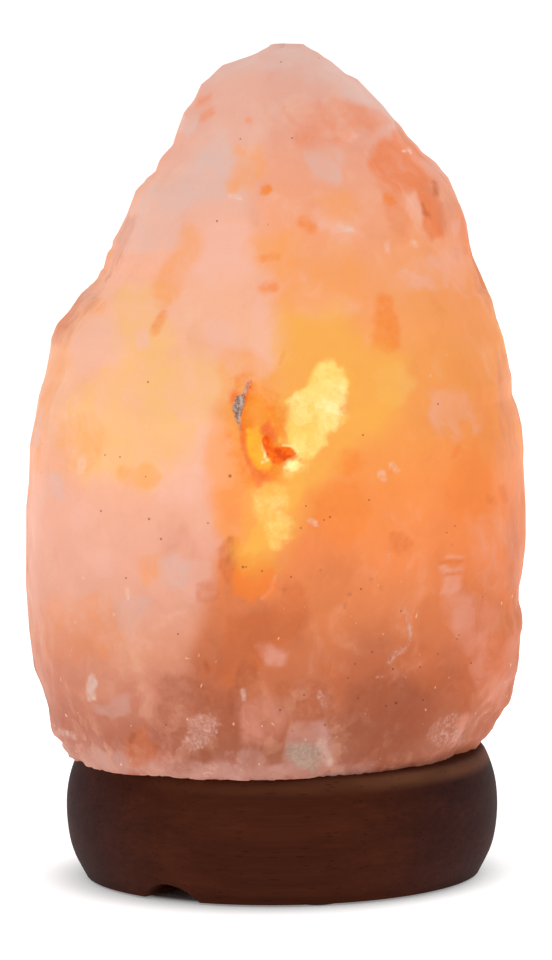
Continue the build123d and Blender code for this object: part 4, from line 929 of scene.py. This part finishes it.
def rock_material():
    m = Nodes("rock_salt")
    P = m.coord
    x, _, z = m.parts(P)
    # warped coordinates, so that cells get broken edges
    w = m.vmath("SUBTRACT", m.noise(70, 2.0, colour=True), (0.5, 0.5, 0.5))
    P1 = m.vmath("ADD", P, m.vmath("SCALE", w, scale=0.012))
    w = m.vmath("SUBTRACT", m.noise(330, 2.0, colour=True), (0.5, 0.5, 0.5))
    P2 = m.vmath("ADD", P1, m.vmath("SCALE", w, scale=0.0024))
    big = m.parts(m.cell(66, P2, "SMOOTH_F1", 0.22)[1])
    mid = m.parts(m.cell(170, P2)[1])
    cloud = m.noise(36, 4, 0.55)
    streak = m.noise(150, 4, 0.62, m.scaled(1, 1, 0.55, P1))
    low = m.span(m.add(z, m.centred(cloud, 0.05)), 0.090, 0.044)           # 1 near the base

    # broad colour by height, in a pinker and a more orange version; besides the salt's tint it holds painted light:
    # brightest through the middle as painted glow, darker towards the foot as painted shade
    h = m.add(m.mul(m.add(z, -0.0295), 1 / 0.1628), m.centred(cloud, 0.13), m.centred(big[0], 0.03))

    def at(zmm):
        return (zmm - 29.5) / 162.8

    pink = m.ramp(h, (
        (at(31), tint(184, 114, 94)), (at(39), tint(184, 110, 86)), (at(50), tint(208, 133, 106)),
        (at(60), tint(224, 149, 118)), (at(71), tint(230, 162, 136)), (at(82), tint(240, 172, 146)),
        (at(96), tint(249, 181, 149)), (at(113), tint(253, 188, 146)), (at(124), tint(253, 188, 150)),
        (at(145), tint(251, 182, 152)), (at(160), tint(240, 182, 160)), (at(176), tint(238, 177, 155)),
        (at(192), tint(230, 184, 170))), "LINEAR")
    orange = m.ramp(h, (
        (at(31), tint(172, 106, 86)), (at(39), tint(168, 98, 72)), (at(50), tint(190, 107, 74)),
        (at(60), tint(209, 119, 77)), (at(71), tint(229, 132, 80)), (at(82), tint(243, 140, 80)),
        (at(92), tint(252, 150, 78)), (at(103), tint(253, 160, 83)), (at(124), tint(253, 167, 92)),
        (at(135), tint(253, 165, 101)), (at(156), tint(250, 168, 128)), (at(172), tint(238, 166, 140)),
        (at(192), tint(230, 180, 164))), "LINEAR")
    warm = m.add(m.field("warm"), m.centred(mid[1], 0.10), m.centred(big[1], 0.22), m.centred(streak, 0.5))
    col = m.mix(m.span(warm, 0.12, 0.88), pink, orange)

    # crystal patches: small shifts of tone and hue
    small = m.parts(m.cell(330, P2, "SMOOTH_F1", 0.30)[1])
    foot = m.span(m.add(z, m.centred(cloud, 0.02), m.mul(x, -0.10)), 0.062, 0.036)
    light = m.add(m.centred(big[2], 0.12), m.centred(mid[2], 0.045), m.centred(streak, 0.42), m.centred(cloud, 0.25),
                  m.mul(foot, m.add(m.centred(small[1], 0.18), m.centred(mid[0], 0.05))))
    col = m.mix(m.span(light, 0.0, 0.20), col, m.mix(m.blendf(low, 0.26, 0.34), col, m.mix(low, tint(255, 214, 188), tint(244, 184, 154))))
    col = m.mix(m.span(light, 0.0, -0.20), col, m.mix(m.blendf(low, 0.20, 0.40), col, m.mix(low, tint(200, 98, 52), tint(166, 80, 50))))

    # patches; the honey and gold ones are painted glow of the bulb
    soft = m.add(m.centred(streak, 1.9), m.centred(mid[0], 0.35))
    crisp = m.add(m.centred(m.noise(620, 3, 0.6), 2.2), m.centred(mid[0], 0.2))
    granular = m.noise(1000, 4, 0.75)
    # up runs from 0 low down to 1 higher up: the patches below take a darker copy of their colour low down, painted
    # shade towards the foot
    up = m.span(h, 0.10, 0.42)

    def mask(kind, wobble, gain=1.0):
        return m.span(m.add(m.field(kind), m.mul(wobble, gain)), 1.0, -1.0)

    for kind, wobble, gain, lower, upper in (
            ("honey", soft, 1.0, tint(240, 165, 108), tint(255, 196, 120)),
            ("rose", soft, 1.0, tint(222, 150, 130), tint(250, 190, 168)),
            ("apricot", soft, 1.0, tint(236, 138, 84), tint(254, 166, 96)),
            ("mauve", soft, 1.0, tint(206, 154, 140), tint(230, 190, 178)),
            ("brick", soft, 0.7, tint(204, 104, 62), tint(242, 130, 74)),
            ("taupe", soft, 1.0, tint(200, 118, 88), tint(222, 146, 116)),
            ("rust", crisp, 0.5, tint(200, 104, 58), tint(226, 112, 52)),
            ("brown", crisp, 0.5, tint(160, 84, 56), tint(198, 100, 56)),
            ("amber", crisp, 0.5, tint(240, 124, 48), tint(251, 136, 50)),
            ("gold", soft, 0.5, tint(253, 178, 74), tint(254, 182, 80))):
        col = m.mix(mask(kind, wobble, gain), col, m.mix(up, lower, upper))
    # both flanks are painted darker and redder, painted shade where less of the bulb's light comes through, the right
    # one more so
    col = m.mix(m.span(x, 0.026, 0.050, 0.0, 0.30), col, tint(226, 116, 62))
    col = m.mix(m.span(x, -0.038, -0.054, 0.0, 0.20), col, tint(222, 144, 118))

    # thin veils and cleavage lines, mostly low down: pale salt, and along the cleavage lines a painted highlight where
    # they catch the light
    line = m.cell(120, m.scaled(1, 1, 0.8, P2), "DISTANCE_TO_EDGE")[0]
    line = m.mul(m.span(line, 0.04, 0.004), m.span(m.noise(80, 2), 0.55, 0.68), m.blendf(low, 0.10, 0.55))
    col = m.mix(m.mul(line, 0.15), col, tint(238, 184, 156))
    # small light slivers and dark grains
    fd, fc = m.cell(330, m.scaled(1, 1, 0.55, P2, rot=(0.3, 0.4, 0.2)))
    sliver = m.mul(m.span(fd, m.blendf(m.parts(fc)[1], 0.08, 0.15), 0.03),
                   m.span(m.parts(fc)[0], m.blendf(low, 0.92, 0.30), m.blendf(low, 0.96, 0.45)))
    col = m.mix(m.mul(sliver, m.blendf(low, 0.50, 0.66)), col, tint(252, 206, 176))
    sd, sc = m.cell(190, P1)
    grain_dark = m.mul(m.span(sd, 0.055, 0.020), m.span(m.parts(sc)[1], m.blendf(low, 0.95, 0.55), m.blendf(low, 0.96, 0.60)))
    for spot, r in GRAIN_SPOTS:
        near_spot = m.span(m.vmath("DISTANCE", P, tuple(spot)), r * 1.25, r * 0.45)
        grain_dark = m.math("MAXIMUM", grain_dark, near_spot)
    col = m.mix(m.mul(grain_dark, 0.74), col, m.mix(up, tint(104, 48, 28), tint(150, 70, 44)))

    pale = mask("pale", crisp, 0.8)
    col = m.mix(pale, col, m.mix(up, tint(220, 184, 170), tint(246, 210, 190)))
    sugar = mask("sugar", crisp, 1.2)
    col = m.mix(m.mul(sugar, m.span(granular, 0.36, 0.62, 0.35, 0.9)), col, m.mix(m.span(granular, 0.38, 0.64),
                tint(194, 128, 110), tint(222, 174, 158)))
    ash = mask("ash", soft, 0.8)
    col = m.mix(ash, col, m.mix(m.span(m.add(m.centred(streak, 1.2), granular), 0.30, 0.70), tint(158, 132, 116), tint(190, 166, 148)))

    # the pit and the windows round it; the windows and the lit, hot and ember marks are painted glow of the bulb
    pit = mask("pit", crisp)
    col = m.mix(pit, col, m.mix(m.span(m.add(streak, m.centred(granular, 0.3)), 0.38, 0.62), tint(251, 134, 40), tint(253, 160, 58)))
    lit = mask("lit", crisp)
    col = m.mix(lit, col, tint(254, 182, 56))
    sunny = mask("sunny", m.add(m.mul(soft, 0.4), m.mul(crisp, 0.7)))
    tones = m.add(m.centred(streak, 1.5), m.centred(mid[2], 0.30), m.centred(granular, 0.4))
    yellow = m.mix(m.span(tones, -0.30, 0.05), tint(253, 208, 104), tint(254, 224, 130))
    yellow = m.mix(m.span(tones, 0.10, 0.42), yellow, tint(255, 240, 166))
    col = m.mix(sunny, col, yellow)
    col = m.mix(mask("flush", crisp, 0.6), col, tint(250, 112, 58))
    hot = mask("hot", crisp, 0.9)
    col = m.mix(hot, col, m.mix(m.span(tones, -0.2, 0.3), tint(255, 236, 150), tint(255, 250, 214)))
    ember = mask("ember", crisp, 0.5)
    col = m.mix(ember, col, m.mix(m.span(m.noise(520, 3, 0.6), 0.38, 0.62), tint(228, 78, 8), tint(250, 112, 22)))
    crust = mask("crust", crisp, 0.8)
    col = m.mix(crust, col, m.mix(m.span(granular, 0.40, 0.60), tint(122, 96, 88), tint(204, 180, 168)))

    # the bulb's light through the salt is painted on: part of what is seen is emitted from the surface, painted glow
    near = m.field("near")
    share = m.blendf(low, m.blendf(m.span(near, 0.1, 0.9), 0.44, 0.60), 0.30)
    share = m.add(share, m.span(z, 0.110, 0.170, 0.0, 0.125), m.mul(m.math("MAXIMUM", sunny, m.math("MAXIMUM", lit, ember)), 0.30),
                  m.mul(hot, m.math("SUBTRACT", 1.0, ember, clamp=True), 0.5))
    # the bore's wall is painted orange and emits: painted glow of the bulb on it
    bore = m.field("bore")
    base = m.mix(m.math("MULTIPLY", share, 0.9), col, (0, 0, 0))
    m.set(Base_Color=m.mix(bore, base, tint(240, 150, 90)),
          Emission_Color=m.mix(bore, col, tint(255, 176, 84)),
          Emission_Strength=m.blendf(bore, share, 0.75))

    # surface: waxy, with fine crystal grain; glossier where it broke cleanly
    rough = m.add(0.50, m.centred(m.noise(260, 3, 0.6), 0.24), m.mul(ash, 0.2), m.mul(sliver, -0.2))
    grain = m.add(m.mul(m.noise(780, 4, 0.62), m.blendf(low, 0.6, 1.0)), m.mul(granular, m.add(ash, crust, m.mul(sugar, 0.8))))
    n1 = m.bump(grain, 0.36, 0.0005)
    m.set(Roughness=rough, Normal=n1, Specular_IOR_Level=0.10, Subsurface_Weight=0.18, Subsurface_Scale=0.004)
    m.bsdf.inputs["Subsurface Radius"].default_value = (1.0, 0.42, 0.22)
    return m.mat


wear(block, rock_material())
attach(block, "base")
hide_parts("salt_crystal")


# =============================================================================================
# wood
# =============================================================================================
def wood_material():
    m = Nodes("stained_wood")
    # the board lies flat: its grain runs along X
    grain = m.noise(1.0, 5, 0.62, m.scaled(26, 520, 820))
    fibre = m.noise(1.0, 4, 0.7, m.scaled(90, 2400, 2800))
    w = m.vmath("SUBTRACT", m.noise(9, 2.0, colour=True), (0.5, 0.5, 0.5))
    bent = m.vmath("ADD", m.coord, m.vmath("SCALE", w, scale=0.008))
    rings = m.noise(1.0, 2, 0.5, m.scaled(5, 110, 170, bent))
    x, y, z = m.parts(m.coord)
    # painted light: the middle of the front is painted a warmer brown, the sides a cooler, darker and greyer one,
    # painted shade and reflection
    warm = m.mul(m.span(m.math("ABSOLUTE", m.add(x, 0.002)), 0.046, 0.020), m.span(y, 0.02, -0.02))
    tone = m.add(m.centred(grain, 0.55), m.centred(rings, 0.50), m.centred(fibre, 0.22), 0.5)
    cool = m.ramp(tone, ((0.10, tint(32, 13, 12)), (0.36, tint(45, 20, 17)), (0.58, tint(57, 27, 22)), (0.90, tint(78, 40, 32))), "LINEAR")
    rich = m.ramp(tone, ((0.10, tint(42, 16, 9)), (0.36, tint(62, 26, 13)), (0.58, tint(73, 32, 16)), (0.90, tint(98, 47, 23))), "LINEAR")
    col = m.mix(warm, cool, rich)
    # painted highlight: the rounded upper edge is painted paler, softly and more so to the right
    painted_highlight_breakup = m.span(m.noise(1.0, 3, 0.55, m.scaled(26, 26, 90)), 0.34, 0.66, 0.35, 1.0)
    painted_shoulder_highlight = m.mul(m.span(z, 0.0250, 0.0278), m.span(z, 0.0299, 0.0284), painted_highlight_breakup, m.span(x, -0.035, 0.030, 0.14, 0.88))
    col = m.mix(painted_shoulder_highlight, col, tint(118, 74, 50))
    # pores: short dark dashes along the grain
    pd, pc = m.cell(1.0, m.scaled(150, 1250, 1250))
    pore = m.mul(m.span(pd, 0.30, 0.14), m.span(m.parts(pc)[0], 0.60, 0.67))
    col = m.mix(m.mul(pore, 0.35), col, tint(20, 8, 6))
    rough = m.add(0.62, m.centred(m.noise(60, 3), 0.12), m.mul(pore, 0.15), m.centred(fibre, 0.10))
    height = m.add(m.mul(fibre, 0.5), m.mul(grain, 0.6), m.mul(pore, -0.8))
    m.set(Base_Color=col, Roughness=rough, Normal=m.bump(height, 0.12, 0.0002), Specular_IOR_Level=0.05)
    return m.mat


wear(nodes["wood_base"], wood_material())


# =============================================================================================
# holder, bulb and fixings
# =============================================================================================
def metal(name, a, b, rough, spread, turn=None, dull=None):
    """A plated or bare metal: fine lines from turning or rolling, a slight stain, uneven gloss."""
    m = Nodes(name)
    lines = m.noise(1.0, 3, 0.6, m.scaled(*(turn or (300, 300, 9000))))
    stain = m.noise(420, 4, 0.6)
    col = m.mix(m.span(m.add(m.centred(lines, 0.5), m.centred(stain, 1.2)), -0.3, 0.3), a, b)
    if dull:
        col = m.mix(m.mul(m.span(m.noise(190, 4, 0.65), 0.52, 0.72), 0.6), col, dull)
    m.set(Base_Color=col, Metallic=1.0, Roughness=m.add(rough, m.centred(stain, spread), m.centred(lines, spread)),
          Normal=m.bump(lines, 0.12, 0.00006))
    return m.mat


def moulded(name, a, b, rough, depth=0.00008, specular=0.5):
    """Moulded plastic: a fine spark-eroded skin with faint flow lines."""
    m = Nodes(name)
    flow = m.noise(90, 3, 0.55, warp=1.2)
    skin = m.noise(4200, 3, 0.6)
    m.set(Base_Color=m.mix(m.span(flow, 0.3, 0.7), a, b), Roughness=m.add(rough, m.centred(flow, 0.10), m.centred(skin, 0.08)),
          Normal=m.bump(skin, 0.20, depth), Specular_IOR_Level=specular)
    return m.mat


def felt_material():
    m = Nodes("felt")
    fluff = m.noise(1500, 4, 0.75, warp=0.8)
    clump = m.noise(330, 3, 0.6)
    col = m.mix(m.span(m.add(m.centred(fluff, 1.0), m.centred(clump, 0.8)), -0.4, 0.4), (0.012, 0.012, 0.013), (0.075, 0.072, 0.070))
    m.set(Base_Color=col, Roughness=0.95, Normal=m.bump(fluff, 0.8, 0.0004), Specular_IOR_Level=0.15, Sheen_Weight=0.35)
    return m.mat


def glass(name, colour, glow=0.0):
    m = Nodes(name)
    film = m.noise(140, 3, 0.5)
    m.set(Base_Color=m.mix(m.span(film, 0.35, 0.7), colour, tuple(c * 0.985 for c in colour)),
          Roughness=m.add(0.015, m.mul(m.span(film, 0.5, 0.8), 0.03)), Transmission_Weight=1.0, IOR=1.50)
    if glow:
        m.set(Emission_Color=tint(255, 190, 110), Emission_Strength=glow)
    return m.mat


def filament_material():
    m = Nodes("tungsten")
    wave = m.noise(2600, 2, 0.5)
    m.set(Base_Color=m.mix(wave, (0.30, 0.28, 0.26), (0.45, 0.42, 0.38)), Metallic=1.0, Roughness=0.5,
          Emission_Color=m.mix(m.span(wave, 0.3, 0.7), tint(255, 190, 96), tint(255, 226, 160)), Emission_Strength=9.0,
          Normal=m.bump(wave, 0.2, 0.00005))
    return m.mat


zinc = metal("zinc_plated", (0.55, 0.56, 0.55), (0.74, 0.74, 0.70), 0.30, 0.16, dull=(0.62, 0.60, 0.52))
spring = metal("spring_strip", (0.42, 0.43, 0.45), (0.60, 0.61, 0.63), 0.26, 0.14, turn=(5200, 5200, 160))
brass = metal("brass_parts", (0.62, 0.42, 0.14), (0.84, 0.63, 0.28), 0.24, 0.16, dull=(0.40, 0.25, 0.10))
nickel = metal("nickel_cap", (0.60, 0.59, 0.56), (0.80, 0.79, 0.75), 0.20, 0.14)
wire = metal("lead_wire", (0.52, 0.50, 0.46), (0.70, 0.67, 0.62), 0.30, 0.12)
solder = metal("solder_bead", (0.46, 0.46, 0.46), (0.66, 0.66, 0.65), 0.42, 0.22, turn=(900, 900, 900))
body = moulded("holder_plastic", (0.70, 0.69, 0.64), (0.80, 0.79, 0.75), 0.42)
nylon = moulded("nylon_plug", (0.46, 0.46, 0.44), (0.58, 0.58, 0.55), 0.48)
vitrite = moulded("black_glass", (0.010, 0.010, 0.012), (0.022, 0.021, 0.024), 0.10, 0.00003)
for names, mat in (
    (("felt_pads",), felt_material()),
    (("base_fixing_screws", "screw_washers", "holder_cap_screws", "terminal_screws"), zinc),
    (("salt_wall_plugs",), nylon),
    (("lamp_holder_body", "lamp_holder_cap"), body),
    (("thread_shell", "centre_contact_foot", "centre_contact_tongue", "contact_rivets", "terminal_plates"), brass),
    (("clip_strap", "clip_rivets", "clip_arm_left", "clip_arm_right"), spring),
    (("bulb_glass",), glass("bulb_glass", (1.0, 0.975, 0.93), 0.05)),
    (("bulb_stem",), glass("stem_glass", (0.96, 0.98, 0.97))),
    (("bulb_screw_cap",), nickel),
    (("bulb_insulator",), vitrite),
    (("bulb_contact_tip",), solder),
    (("filament",), filament_material()),
    (("filament_lead_wires", "filament_supports"), wire),
):
    for name in names:
        wear(nodes[name], mat)

# =============================================================================================
# floor, light, camera
# =============================================================================================
floor_mesh = bpy.data.meshes.new("stage_floor")
floor_mesh.from_pydata([(-14, -6, 0), (14, -6, 0), (14, 24, 0), (-14, 24, 0)], [], [(0, 1, 2, 3)])
floor = bpy.data.objects.new("stage_floor", floor_mesh)
bpy.context.scene.collection.objects.link(floor)


def stage_material():
    """White paper from above; from underneath it isn't there, so the lamp's underside can be looked at."""
    m = Nodes("stage_white")
    x, y, _ = m.parts(m.coord)
    # the paper's glow fades to nothing round the lamp's foot: a painted contact shadow
    reach = m.math("SQRT", m.add(m.math("POWER", m.add(x, 0.0010), 2.0), m.math("POWER", m.add(y, 0.0010), 2.0)))
    glow = m.add(m.span(reach, 0.0385, 0.0425, 0.0, 0.24), m.span(reach, 0.0425, 0.0570, 0.0, 0.38))
    m.set(Base_Color=(0.93, 0.93, 0.93), Roughness=0.8, Specular_IOR_Level=0.1, Emission_Color=(1, 1, 1),
          Emission_Strength=glow)
    clear = m.t.nodes.new("ShaderNodeBsdfTransparent")
    swap = m.t.nodes.new("ShaderNodeMixShader")
    m.t.links.new(m.t.nodes.new("ShaderNodeNewGeometry").outputs["Backfacing"], swap.inputs[0])
    m.t.links.new(m.bsdf.outputs[0], swap.inputs[1])
    m.t.links.new(clear.outputs[0], swap.inputs[2])
    m.t.links.new(swap.outputs[0], m.out.inputs["Surface"])
    return m.mat


wear(floor, stage_material())
floor.visible_shadow = False

scene = bpy.context.scene
scene.view_settings.view_transform = "Standard"
world = bpy.data.worlds.new("studio")
scene.world = world
world.use_nodes = True
world.node_tree.nodes["Background"].inputs[0].default_value = (1, 1, 1, 1)
world.node_tree.nodes["Background"].inputs[1].default_value = 0.56


def area(name, loc, target, size, power, colour=(1, 1, 1)):
    li = bpy.data.lights.new(name, "AREA")
    li.shape = "RECTANGLE"
    li.size, li.size_y = size
    li.energy = power
    li.color = colour
    ob = bpy.data.objects.new(name, li)
    scene.collection.objects.link(ob)
    ob.location = loc
    ob.rotation_euler = (Vector(target) - Vector(loc)).to_track_quat("-Z", "Y").to_euler()
    return ob


area("key", (-0.6, -0.7, 1.0), (0, 0, 0.1), (0.7, 0.7), 2.2)
area("back", (0.7, 0.8, 0.9), (0, 0, 0.1), (0.7, 0.7), 2.2)

cam = bpy.data.cameras.new("camera")
cam.sensor_width = 36.0
cam.sensor_fit = "AUTO"
cam.lens = FOCAL * 36.0 / 960.0
cam.clip_start, cam.clip_end = 0.05, 60.0
co = bpy.data.objects.new("camera", cam)
scene.collection.objects.link(co)
pose = Matrix((Vector(SIDE), Vector(UP), Vector(-FWD))).transposed().to_4x4()
pose.translation = Vector(place(EYE)[0])
co.matrix_world = pose
scene.camera = co
